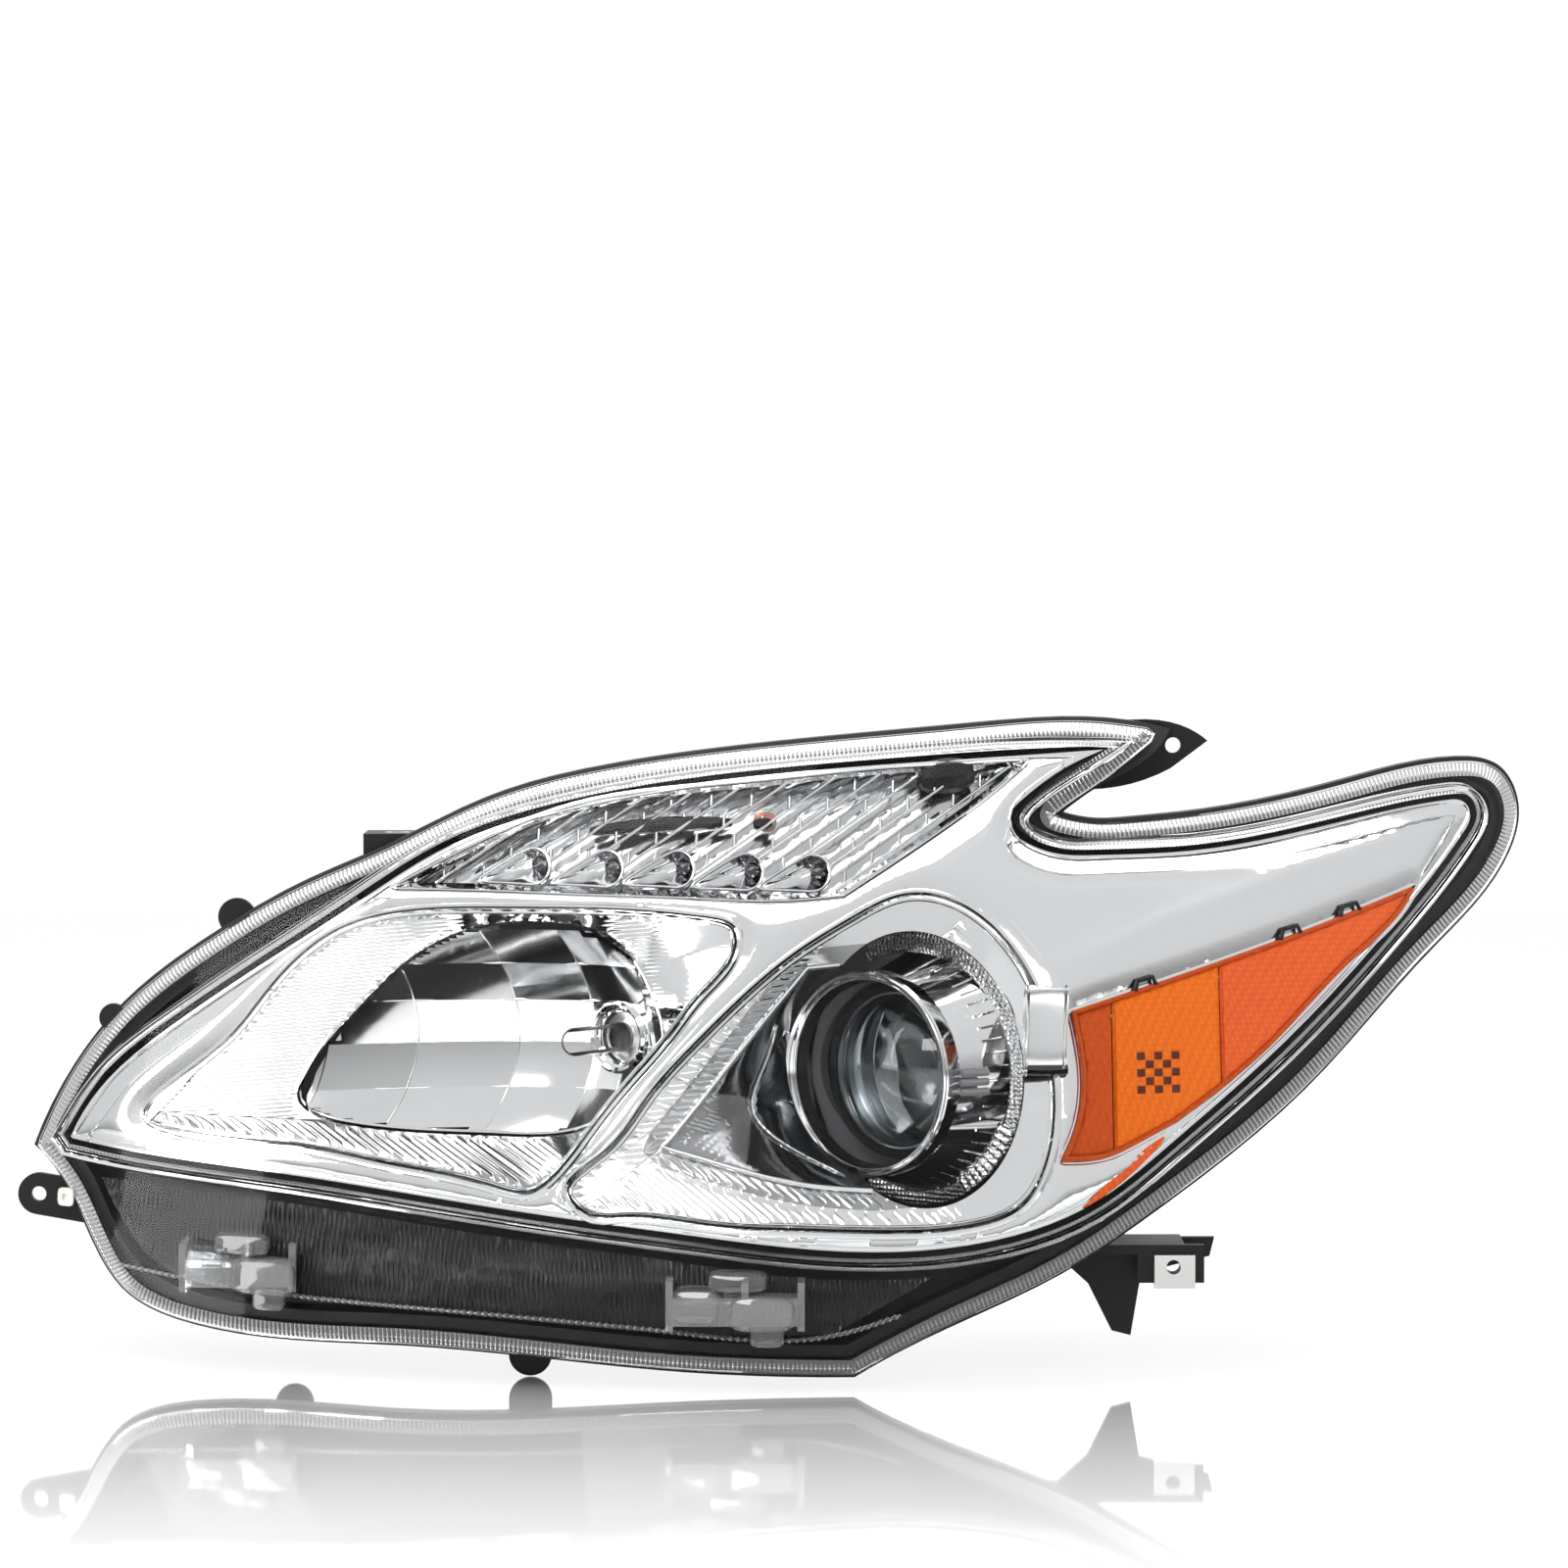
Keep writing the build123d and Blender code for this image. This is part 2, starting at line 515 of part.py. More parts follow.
def make_high_reflector():
    """A paraboloid bowl, trimmed above, below and at the sides, with a neck for the bulb."""
    neck, bore = bulb_neck(17.5, HIGH_NECK, HIGH_SEAT, 12)
    sheet = bowl_block(BOWL_WALL) & bar((-104, 52), (-38, 46), (-10, 96))
    shell = sheet + neck - bowl_block(0, 220) - bore - rod(BULB_HOLE, -3, 40)
    placed = straight_ahead(*HIGH_BEAM) * shell
    return placed & between(prism(moved_out(BOWL_EDGE, -1)), TRIM_DEPTH + 12.5, FAR / 2)


def make_projector_holder():
    top = PROJECTOR_FLANGE + HOLDER_LENGTH
    profile = [(32.4, top - 2), (32.4, top), (37, top), (37, top - 9), (35.8, top - 11),
               (35.8, PROJECTOR_FLANGE), (FLANGE_RADIUS, PROJECTOR_FLANGE),
               (FLANGE_RADIUS, PROJECTOR_FLANGE - 3.4), (33.4, PROJECTOR_FLANGE - 3.4),
               (33.4, top - 7.5), (35.2, top - 7.5), (35.2, top - 2)]
    holder = straight_ahead(*LOW_BEAM) * turned(profile)
    for hole in screw_places():
        holder -= hole * rod(1.95, -20, 5)
    return holder


def make_projector_lens():
    """A plano-convex aspheric lens held by its edge in the holder."""
    rim = PROJECTOR_FLANGE + HOLDER_LENGTH - 2.1
    dome = Edge.make_spline([Vector(0, 0, rim + GLASS_RISE), Vector(12, 0, rim + 0.9 * GLASS_RISE),
                             Vector(23, 0, rim + 0.54 * GLASS_RISE), Vector(32.2, 0, rim)])
    points = [(32.2, rim), (GLASS_RADIUS, rim), (GLASS_RADIUS, rim - 4), (0, rim - 4),
              (0, rim + GLASS_RISE)]
    corners = [Vector(r, 0, z) for r, z in points]
    edges = [dome] + [Edge.make_line(a, b) for a, b in zip(corners, corners[1:])]
    return straight_ahead(*LOW_BEAM) * Solid.revolve(Face(Wire(edges)), 360, Axis.Z)


def make_projector_bowl():
    """A deep elliptical bowl behind the cheek, ending in the bulb's neck."""
    base = PROJECTOR_FLANGE - 3.5
    neck, bore = bulb_neck(18.5, LOW_NECK, LOW_SEAT, 12)
    return straight_ahead(*LOW_BEAM) * (ellipse_block(base, 2.2) + neck - ellipse_block(base, 0) - bore)


def ellipse_block(base, grow):
    curve = [Vector(33 + grow, 0, base), Vector(31 + grow, 0, base - 18),
             Vector(25 + grow, 0, base - 36), Vector(14 + grow, 0, base - 50)]
    corners = [curve[-1], Vector(0, 0, base - 50), Vector(0, 0, base), curve[0]]
    edges = [Edge.make_spline(curve)] + [Edge.make_line(a, b) for a, b in zip(corners, corners[1:])]
    return Solid.revolve(Face(Wire(edges)), 360, Axis.Z)


def make_cutoff_shade():
    """The plate at the projector's focus that cuts the low beam off, stepped at the middle."""
    z = PROJECTOR_FLANGE + 4
    plate = rod(33.0, z, z + 1.2) - bar((-40, 40), (2, 40), (z - 2, z + 3))
    plate -= bar((-40, 0), (-1.5, 40), (z - 2, z + 3))
    return straight_ahead(*LOW_BEAM) * plate


def make_pivot_sockets():
    """Nylon cups snapped into the carrier, one round each pivot ball."""
    return [Pos(x, AIM_AXIS[0], AIM_AXIS[1]) * Rot(-90, 0, 0) * socket_cup() for x in PIVOTS_X]


def socket_cup():
    cup = rod(7.0, -10, -6) + rod(8.6, -6, 3.2)
    return cup - Sphere(BALL + BALL_GAP) - rod(BALL - 0.2, 0, 9)


def make_adjuster_socket():
    x, z = AIM_SCREW
    return Pos(x, AIM_AXIS[0], z) * Rot(-90, 0, 0) * socket_cup()


def make_pivot_studs():
    studs = []
    for x in PIVOTS_X:
        back = rear_y(x, AIM_AXIS[1]) - 1.6 - AIM_AXIS[0]
        stud = Sphere(BALL) + rod(2.4, 1, 9) + rod(3.0, 9, back)
        studs.append(Pos(x, AIM_AXIS[0], AIM_AXIS[1]) * Rot(-90, 0, 0) * stud)
    return studs


def make_adjuster_stud():
    x, z = AIM_SCREW
    stud = Sphere(BALL) + rod(2.4, 1, 31)
    return Pos(x, AIM_AXIS[0], z) * Rot(-90, 0, 0) * stud


def make_adjuster_screw():
    """The toothed head outside the rear wall, with a sleeve in the boss and a bore for the stud."""
    head = SCREW_SEAT - AIM_AXIS[0] + 0.5
    knob = rod(12, head, head + 6) + rod(SCREW_BORE - 0.4, head - 8, head) + rod(5.0, head + 6, head + 20)
    for tooth in ring_of(Box(2.4, 2.0, 6), 18, 12.6):
        knob += Pos(0, 0, head + 3) * tooth
    knob -= rod(2.8, head - 20, head + 18)
    x, z = AIM_SCREW
    return Pos(x, AIM_AXIS[0], z) * Rot(-90, 0, 0) * knob


# ---- bulbs, sockets and caps ---------------------------------------------------------------------
def bulb_glass(radius, length):
    """A glass capsule standing on z = 0 and closed by a dome."""
    return rod(radius, 0, length - radius) + Pos(0, 0, length - radius) * Sphere(radius)


def bulb_base(neck):
    """A bulb's moulded base, seated at z = 0: front spigot, lugs, flange, grip and plug shroud."""
    base = rod(neck, -SEAL_THICK, BASE_FRONT) + rod(neck + 5, -SEAL_THICK - 3, -SEAL_THICK)
    base += rod(12, -18, -SEAL_THICK - 3)
    for lug in ring_of(bar((-2, 3.0), (-3, 3), (2.4, 4.9)), 3, neck, start=30):
        base += lug
    return base + Pos(0, -8, -14) * (Box(20, 26, 12) - Pos(0, -3, 0) * Box(15, 24, 8))


def bulb_seal(neck):
    return tube(neck + 3.8, neck + 0.05, -SEAL_THICK, -SEAL_GAP)


def socket(port, neck, bulb_radius):
    """A twist-in lamp socket seated on a port's rim at z = 0, with its bulb at the neck's end on -z."""
    body = rod(port - 0.4, -neck, SEAL_THICK) + rod(port + 4, SEAL_THICK, 6) + rod(port - 4, 6, 16)
    body += bar((-port + 2, port - 2), (-2, 2), (15, 19))
    return body - rod(bulb_radius + 0.2, -neck - 1, -neck + 10)


def socket_bulb(radius, neck, length):
    """A capless bulb whose foot is in the socket's neck."""
    body = rod(radius, -neck - length + radius, -neck + 9.8)
    return body + Pos(0, 0, -neck - length + radius) * Sphere(radius)


def socket_seal(port):
    return tube(port + 3.4, port - 0.3, SEAL_GAP, SEAL_THICK)


def cap(port):
    """A twist cap: a dished disc with finger grips, on a skirt in the port.  z = 0 is the rim."""
    body = rod(port + 6, -8, -SEAL_THICK) - rod(port + 2, -20, -4.5)
    body += tube(port - 0.6, port - 3, -2.4, 7)
    body += bar((-port - 4, port + 4), (-3, 3), (-12, -4))
    for rib in ring_of(Box(2, 5, 6.2), 16, port + 6.2):
        body += Pos(0, 0, -4.9) * rib
    return body


def cap_seal(port):
    return tube(port + 4.5, port - 0.4, -SEAL_THICK, -SEAL_GAP)


def beam_bulb(place, seat, neck, glass_length):
    """A beam bulb's glass, base and seal in their places."""
    where = straight_ahead(*place) * Pos(0, 0, seat)
    glass = where * Pos(0, 0, BASE_FRONT) * bulb_glass(CAPSULE, glass_length)
    return glass, where * bulb_base(neck), where * bulb_seal(neck)


# ---- small hardware ------------------------------------------------------------------------------
def make_bolt_insert():
    outer, bore, length = INSERT
    return Pos(*UPPER_BOLT) * (rod(outer, -length, 0) - rod(bore, -length + 2, 1))


def screw(length):
    head = rod(3.4, 0, 2.6) - Box(5, 1.1, 1.6).moved(Pos(0, 0, 2.6)) - Box(1.1, 5, 1.6).moved(Pos(0, 0, 2.6))
    return head + rod(1.9, -length, 0)


def screw_places():
    """The places of the four screws through the projector's flange, each at the flange's face."""
    spots = [Rot(0, 0, 45 + 90 * i) * Pos(SCREW_CIRCLE, 0, PROJECTOR_FLANGE) for i in range(4)]
    return [straight_ahead(*LOW_BEAM) * spot for spot in spots]


def make_projector_screws():
    """Four screws that hold the projector's flange to the carrier's cheek."""
    return [place * screw(9) for place in screw_places()]


def make_vents():
    """Two rubber breather elbows on the housing's rear wall."""
    vents = []
    for x, z in VENT_PLACES:
        y = rear_y(x, z) - 1
        elbow = from_behind(x, z, y) * (rod(5, 0.2, 12) - rod(2.5, -1, 9))
        elbow += Pos(x, y + 9, z) * Rot(180, 0, 0) * tube(4, 2.2, -0, 16)
        elbow -= from_behind(x, z, y) * rod(2.5, -1, 9)
        vents.append(elbow - rear_cut())
    return vents


def rear_cut():
    return graph_solid(REAR_DEPTH - 40, REAR_BOW, REAR_LEAN, 40.05)


# ---- export --------------------------------------------------------------------------------------
def to_row(shape):
    """Turns a shape from the draw frame to the row frame, with the origin at the upper bolt."""
    return Rot(0, 0, DRAW_ANGLE) * Pos(*(-c for c in UPPER_BOLT)) * shape


def all_parts():
    low_glass, low_base, low_seal = beam_bulb(LOW_BEAM, LOW_SEAT, LOW_NECK, LOW_GLASS)
    high_glass, high_base, high_seal = beam_bulb(HIGH_BEAM, HIGH_SEAT, HIGH_NECK, HIGH_GLASS)
    turn_at = from_behind(*TURN_BULB, TURN_BOSS_Y)
    marker_at = from_behind(*MARKER_BULB, MARKER_BOSS_Y)
    low_cap_at = straight_ahead(*LOW_BEAM) * Pos(0, 0, LOW_CAP_AT)
    high_cap_at = straight_ahead(*HIGH_BEAM) * Pos(0, 0, HIGH_CAP_AT)
    return {
        "lens": make_lens,
        "lens_bracket_inner": lambda: make_lens_bracket(-229, -93, 46),
        "lens_bracket_outer": lambda: make_lens_bracket(-20, -101, 54),
        "lens_sealant": make_sealant,
        "housing": make_housing,
        "clip_nut": make_clip_nut,
        "bolt_insert": make_bolt_insert,
        "bezel": make_bezel,
        "low_beam_pocket": make_low_pocket,
        "projector_trim_ring": make_trim_ring,
        "projector_shroud": make_shroud,
        "halo_ring": make_halo_ring,
        "lower_trim": make_lower_trim,
        "amber_reflector": make_amber_reflector,
        "marker_reflector": make_marker_reflector,
        "turn_reflector": make_turn_reflector,
        "turn_inner_lens": make_turn_inner_lens,
        "accent_cups": make_accent_cups,
        "accent_beads": make_accent_beads,
        "vents": make_vents,
        "pivot_studs": make_pivot_studs,
        "carrier_frame": make_carrier,
        "high_beam_reflector": make_high_reflector,
        "projector_holder": make_projector_holder,
        "projector_lens": make_projector_lens,
        "projector_bowl": make_projector_bowl,
        "cutoff_shade": make_cutoff_shade,
        "projector_screws": make_projector_screws,
        "pivot_sockets": make_pivot_sockets,
        "adjuster_socket": make_adjuster_socket,
        "adjuster_stud": make_adjuster_stud,
        "adjuster_screw": make_adjuster_screw,
        "low_bulb_glass": lambda: low_glass,
        "low_bulb_base": lambda: low_base,
        "low_bulb_seal": lambda: low_seal,
        "high_bulb_glass": lambda: high_glass,
        "high_bulb_base": lambda: high_base,
        "high_bulb_seal": lambda: high_seal,
        "turn_socket": lambda: turn_at * socket(TURN_PORT, *TURN_LAMP[:2]),
        "turn_socket_seal": lambda: turn_at * socket_seal(TURN_PORT),
        "turn_bulb": lambda: turn_at * socket_bulb(TURN_LAMP[1], TURN_LAMP[0], TURN_LAMP[2]),
        "marker_socket": lambda: marker_at * socket(MARKER_PORT, *MARKER_LAMP[:2]),
        "marker_socket_seal": lambda: marker_at * socket_seal(MARKER_PORT),
        "marker_bulb": lambda: marker_at * socket_bulb(MARKER_LAMP[1], MARKER_LAMP[0], MARKER_LAMP[2]),
        "low_cap": lambda: low_cap_at * cap(LOW_PORT),
        "low_cap_seal": lambda: low_cap_at * cap_seal(LOW_PORT),
        "high_cap": lambda: high_cap_at * cap(HIGH_PORT),
        "high_cap_seal": lambda: high_cap_at * cap_seal(HIGH_PORT),
    }


def export_parts():
    os.makedirs("parts", exist_ok=True)
    for name, make in all_parts().items():
        made = make()
        solids = made if isinstance(made, list) else [made]
        placed = [solid for shape in solids for solid in to_row(shape).solids()]
        export_step(placed[0] if len(placed) == 1 else Compound(placed), f"parts/{name}.step")


export_parts()
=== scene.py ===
import bmesh
import bpy
import json
import math
import numpy as np
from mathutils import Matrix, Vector
from mathutils.geometry import delaunay_2d_cdt


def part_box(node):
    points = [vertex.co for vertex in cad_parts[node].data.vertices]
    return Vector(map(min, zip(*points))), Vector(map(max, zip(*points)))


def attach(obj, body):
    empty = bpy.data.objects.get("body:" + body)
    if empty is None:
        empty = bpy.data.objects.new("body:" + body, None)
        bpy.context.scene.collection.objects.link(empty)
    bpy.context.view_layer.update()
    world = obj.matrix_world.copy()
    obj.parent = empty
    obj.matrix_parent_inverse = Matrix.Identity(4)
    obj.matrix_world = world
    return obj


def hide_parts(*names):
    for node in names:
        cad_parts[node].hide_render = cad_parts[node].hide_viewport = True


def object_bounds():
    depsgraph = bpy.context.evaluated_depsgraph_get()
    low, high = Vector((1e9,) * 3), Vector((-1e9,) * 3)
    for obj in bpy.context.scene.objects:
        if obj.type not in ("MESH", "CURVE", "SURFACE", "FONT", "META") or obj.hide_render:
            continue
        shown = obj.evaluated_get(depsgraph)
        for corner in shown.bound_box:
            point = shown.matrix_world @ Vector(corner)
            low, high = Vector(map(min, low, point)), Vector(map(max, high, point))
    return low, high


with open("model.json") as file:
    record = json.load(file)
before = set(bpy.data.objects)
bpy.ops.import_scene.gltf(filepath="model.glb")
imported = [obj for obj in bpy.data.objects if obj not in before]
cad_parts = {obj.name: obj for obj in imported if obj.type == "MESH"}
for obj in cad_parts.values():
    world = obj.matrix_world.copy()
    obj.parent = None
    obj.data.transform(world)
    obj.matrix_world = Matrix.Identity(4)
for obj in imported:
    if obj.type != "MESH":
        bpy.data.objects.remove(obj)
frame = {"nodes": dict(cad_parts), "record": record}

CAD_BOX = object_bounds()
NODES = frame["nodes"]

# ---- the two frames ----
# Shapes are worked out in millimetres in the draw frame: y is the direction in which the lens is drawn
# from its mould, x runs along the lamp and z is up.  spots() takes them to the row frame in metres.
DRAW_ANGLE = math.radians(40.0)
BOLT_TOP = np.array([-167.0, 150.0, 80.0])
TURN = np.array([[math.cos(DRAW_ANGLE), -math.sin(DRAW_ANGLE), 0],
                 [math.sin(DRAW_ANGLE), math.cos(DRAW_ANGLE), 0], [0, 0, 1]])
bolt_low, bolt_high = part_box("bolt_insert")
BOLT_AT = np.array([(bolt_low.x + bolt_high.x) / 2, (bolt_low.y + bolt_high.y) / 2, bolt_high.z])


def spots(points):
    """Row frame metres from draw frame millimetres."""
    return (np.asarray(points, float) - BOLT_TOP) @ TURN.T * 0.001 + BOLT_AT


def draw_of(point):
    """Draw frame millimetres from row frame metres."""
    return (np.asarray(point, float) - BOLT_AT) * 1000 @ TURN + BOLT_TOP


# The lens face and the two beams, as in the CAD source.
LEAN_BASE, LENS_BOW, LENS_LEAN = -80.0, 450.0, (0.25, 0.0012)
LOW_BEAM, HIGH_BEAM, HIGH_FOCUS = (34.0, 66.0, -17.0), (-68.0, 97.0, -4.0), 26.0
LOW_AXIS = np.array([math.sin(DRAW_ANGLE), math.cos(DRAW_ANGLE), 0.0])      # rearward along the beams
ACROSS = np.array([math.cos(DRAW_ANGLE), -math.sin(DRAW_ANGLE), 0.0])      # outboard, square to the beams
UP = np.array([0.0, 0.0, 1.0])
# Openings rise by this for each millimetre from them to what shows through them; depths of the two openings.
OPENING_LIFT, BOWL_OPENING, POCKET_OPENING = 0.094, 22.0, 18.0
LINE_STEP = 1.5           # spacing of the points along an outline


def lens_y(x, z, depth=0.0):
    h = z - LEAN_BASE
    return depth + x * x / (2 * LENS_BOW) + LENS_LEAN[0] * h + LENS_LEAN[1] * h * h


def on_lens(flat, depth):
    """Points of the draw frame on the surface that lies depth behind the lens face."""
    flat = np.asarray(flat, float)
    return np.column_stack([flat[:, 0], lens_y(flat[:, 0], flat[:, 1], depth), flat[:, 1]])


# ---- camera, floor and light ----
VIEW_LOW, VIEW_FAR, AIM_UP = math.radians(5.4), 2400.0, math.radians(2.58)
LENS_MM, SENSOR_MM, SIGHT = 135.0, 36.0, 100.0
FADE_NEAR, FADE_FAR, POLISH = -0.12, -0.95, 0.84      # where the floor's mirror image fades, its strength
FLOOR_GAP = 0.0005
MATERIALS = {}


def make_camera():
    data = bpy.data.cameras.new("camera")
    data.lens = LENS_MM
    data.sensor_width = SENSOR_MM
    data.clip_end = SIGHT
    camera = bpy.data.objects.new("camera", data)
    bpy.context.scene.collection.objects.link(camera)
    at = spots([[0, -VIEW_FAR * math.cos(VIEW_LOW), VIEW_FAR * math.sin(VIEW_LOW)]])[0]
    pitch = -VIEW_LOW + AIM_UP
    look = TURN @ np.array([0, math.cos(pitch), math.sin(pitch)])
    camera.location = Vector(at)
    camera.rotation_euler = Vector(look).to_track_quat("-Z", "Y").to_euler()
    bpy.context.scene.camera = camera


def node_material(name):
    material = bpy.data.materials.new(name)
    material.use_nodes = True
    tree = material.node_tree
    tree.nodes.clear()
    MATERIALS[name] = material
    return tree, tree.nodes.new("ShaderNodeOutputMaterial")


def shader(tree, kind, **values):
    """A node with its sockets set; an underscore in a socket's name stands for a space."""
    node = tree.nodes.new("ShaderNode" + kind)
    for key, value in values.items():
        name = key.replace("_", " ")
        if name in node.inputs:
            node.inputs[name].default_value = value
        else:
            setattr(node, key, value)
    return node


def link(tree, source, target, into=0, out=0):
    tree.links.new(source.outputs[out], target.inputs[into])


def mixed(tree, share, first, second):
    """The blend of two shaders; share is a number or a node."""
    mix = shader(tree, "MixShader")
    if isinstance(share, float):
        mix.inputs[0].default_value = share
    else:
        link(tree, share, mix)
    link(tree, first, mix, 1)
    link(tree, second, mix, 2)
    return mix


def floor_material():
    """Polished white floor whose mirror image fades towards the viewer."""
    tree, output = node_material("studio_floor")
    matt = shader(tree, "BsdfPrincipled", Base_Color=(0.86, 0.86, 0.86, 1), Roughness=1.0,
                  Specular_IOR_Level=0.0, Emission_Color=(1, 1, 1, 1), Emission_Strength=0.12)
    mirror = shader(tree, "BsdfGlossy", Color=(0.97, 0.97, 0.97, 1), Roughness=0.035)
    along = shader(tree, "VectorMath", operation="DOT_PRODUCT")
    along.inputs[1].default_value = tuple(TURN @ np.array([0.0, 1.0, 0.0]))
    fade = shader(tree, "MapRange", From_Min=FADE_FAR, From_Max=FADE_NEAR, To_Max=POLISH)
    link(tree, shader(tree, "TexCoord"), along, out="Object")
    link(tree, along, fade, out="Value")
    link(tree, mixed(tree, fade, matt, mirror), output)


def wall_material():
    """White backdrop, lit from within so that it stays white."""
    tree, output = node_material("studio_wall")
    glow = shader(tree, "Emission", Color=(1, 1, 1, 1))
    level = shader(tree, "MapRange", To_Min=1.02, To_Max=1.06)
    link(tree, shader(tree, "TexNoise", Scale=2.0), level)
    link(tree, level, glow, "Strength")
    link(tree, glow, output)


def make_stage():
    floor_z = CAD_BOX[0][2] - FLOOR_GAP
    size, back, radius, steps = 6.0, 2.6, 1.2, 12
    curve = [(back + radius * math.sin(a), radius * (1 - math.cos(a)))
             for a in np.linspace(0, math.pi / 2, steps)]
    floor_material()
    wall_material()
    runs = [("floor", "studio_floor", [(-size, 0.0), (back, 0.0)]),
            ("backdrop", "studio_wall", curve + [(back + radius, 5.0)])]
    for name, material, profile in runs:
        verts = [tuple(TURN @ (x, y, 0.0) + (0, 0, floor_z + z)) for y, z in profile for x in (-size, size)]
        faces = [(2 * i, 2 * i + 1, 2 * i + 3, 2 * i + 2) for i in range(len(profile) - 1)]
        mesh = bpy.data.meshes.new(name)
        mesh.from_pydata(verts, [], faces)
        mesh.shade_smooth()
        mesh.materials.append(MATERIALS[material])
        part = bpy.data.objects.new(name, mesh)
        bpy.context.scene.collection.objects.link(part)


SKY_STOPS = [(0.0, 0.48), (0.46, 0.52), (0.50, 0.29), (0.56, 0.45), (0.66, 0.68), (1.0, 0.75)]


def area_light(name, at, size, power, mirrored=True):
    """A soft box aimed at the middle of the lamp."""
    data = bpy.data.lights.new(name, "AREA")
    data.shape = "RECTANGLE"
    data.size, data.size_y = size
    data.energy = power
    light = bpy.data.objects.new(name, data)
    bpy.context.scene.collection.objects.link(light)
    at, middle = (Vector(place) for place in spots([at, (0, 60, 0)]))
    light.location = at
    light.rotation_euler = (middle - at).to_track_quat("-Z", "Y").to_euler()
    light.visible_glossy = mirrored


def make_lights():
    area_light("top_box", (-50, 150, 1400), (2.2, 1.2), 24)
    area_light("front_box", (-500, -1700, 1000), (0.7, 0.5), 9)
    area_light("left_box", (-1500, -500, 500), (0.4, 1.6), 11)
    area_light("right_box", (1400, -600, 600), (0.4, 1.4), 10, mirrored=False)
    world = bpy.data.worlds.new("studio")
    bpy.context.scene.world = world
    world.use_nodes = True
    tree = world.node_tree
    tree.nodes.clear()
    split = shader(tree, "SeparateXYZ")
    scale = shader(tree, "MapRange", From_Min=-1.0)
    ramp = shader(tree, "ValToRGB")
    background = shader(tree, "Background", Strength=1.0)
    elements = ramp.color_ramp.elements
    while len(elements) < len(SKY_STOPS):
        elements.new(0.5)
    for element, (place, value) in zip(elements, SKY_STOPS):
        element.position = place
        element.color = (value, value, value, 1)
    link(tree, shader(tree, "TexCoord"), split, out="Generated")
    link(tree, split, scale, out=2)
    link(tree, scale, ramp)
    link(tree, ramp, background)
    link(tree, background, shader(tree, "OutputWorld"))


# ---- materials ----
def pattern(tree, kind, **values):
    """A texture laid on the object itself."""
    texture = shader(tree, kind, **values)
    link(tree, shader(tree, "TexCoord"), texture, "Vector", "Object")
    return texture


def bump_from(tree, texture, strength, distance, into):
    bump = shader(tree, "Bump", Strength=strength, Distance=distance)
    link(tree, texture, bump, "Height")
    link(tree, bump, into, "Normal")


def varied(tree, texture, base, rough, change, least):
    """Lets the roughness of a shader follow a texture."""
    rougher = shader(tree, "MapRange", To_Min=max(least, rough - change), To_Max=rough + change)
    link(tree, texture, rougher)
    link(tree, rougher, base, "Roughness")


def toned(tree, texture, base, color, first, second):
    """Lets the colour of a shader wander between two shades of it."""
    tone = shader(tree, "Mix", data_type="RGBA")
    for socket, share in (("A", first), ("B", second)):
        tone.inputs[socket].default_value = tuple(min(1, c * share) for c in color) + (1,)
    link(tree, texture, tone, "Factor")
    link(tree, tone, base, "Base Color", "Result")


def plastic(name, color, rough, coat=0.0):
    """A moulded plastic: a fine grain in its bump and a slow change in its roughness and tone."""
    tree, output = node_material(name)
    base = shader(tree, "BsdfPrincipled", Coat_Weight=coat, Specular_IOR_Level=0.22)
    slow = pattern(tree, "TexNoise", Scale=35.0, Detail=4.0)
    fine = pattern(tree, "TexNoise", Scale=900.0, Detail=2.0)
    toned(tree, slow, base, color, 0.88, 1.12)
    varied(tree, slow, base, rough, 0.07, 0.02)
    bump_from(tree, fine, 0.6, 0.00006, base)
    link(tree, base, output)


def metal(name, color, rough, wave=60.0, strength=0.10):
    """A bright or plated metal whose mirror image wavers a little, as on a moulded part."""
    tree, output = node_material(name)
    base = shader(tree, "BsdfPrincipled", Base_Color=color + (1,), Metallic=1.0)
    slow = pattern(tree, "TexNoise", Scale=wave, Detail=2.0)
    varied(tree, slow, base, rough, 0.03, 0.01)
    bump_from(tree, slow, strength, 0.0003, base)
    link(tree, base, output)


def clear(name, tint, rough=0.03, ior=1.45, haze=0.0, ripple=(25.0, 0.08), milk=0.86):
    """Thin clear plastic: what is behind shows straight through, under a mirror that follows Fresnel."""
    tree, output = node_material(name)
    through = shader(tree, "BsdfTransparent", Color=tint + (1,))
    mirror = shader(tree, "BsdfGlossy", Roughness=rough, Color=(1, 1, 1, 1))
    last = mixed(tree, shader(tree, "Fresnel", IOR=ior), through, mirror)
    bump_from(tree, pattern(tree, "TexNoise", Scale=ripple[0], Detail=1.0), ripple[1], 0.0004, mirror)
    if haze:
        last = mixed(tree, haze, last, shader(tree, "BsdfDiffuse", Color=(milk, milk, milk, 1)))
    link(tree, last, output)


def amber(name, color):
    """Amber plastic over prisms: a small diamond pattern in the bump, under a clear coat."""
    tree, output = node_material(name)
    base = shader(tree, "BsdfPrincipled", Roughness=0.22, Coat_Weight=0.04, Specular_IOR_Level=0.14,
                  Subsurface_Weight=0.15, Subsurface_Radius=(0.004, 0.0015, 0.0005))
    cells = pattern(tree, "TexVoronoi", Scale=420.0, Randomness=0.15)
    toned(tree, cells, base, color, 1.25, 0.72)
    bump_from(tree, cells, 0.7, 0.0005, base)
    link(tree, base, output)


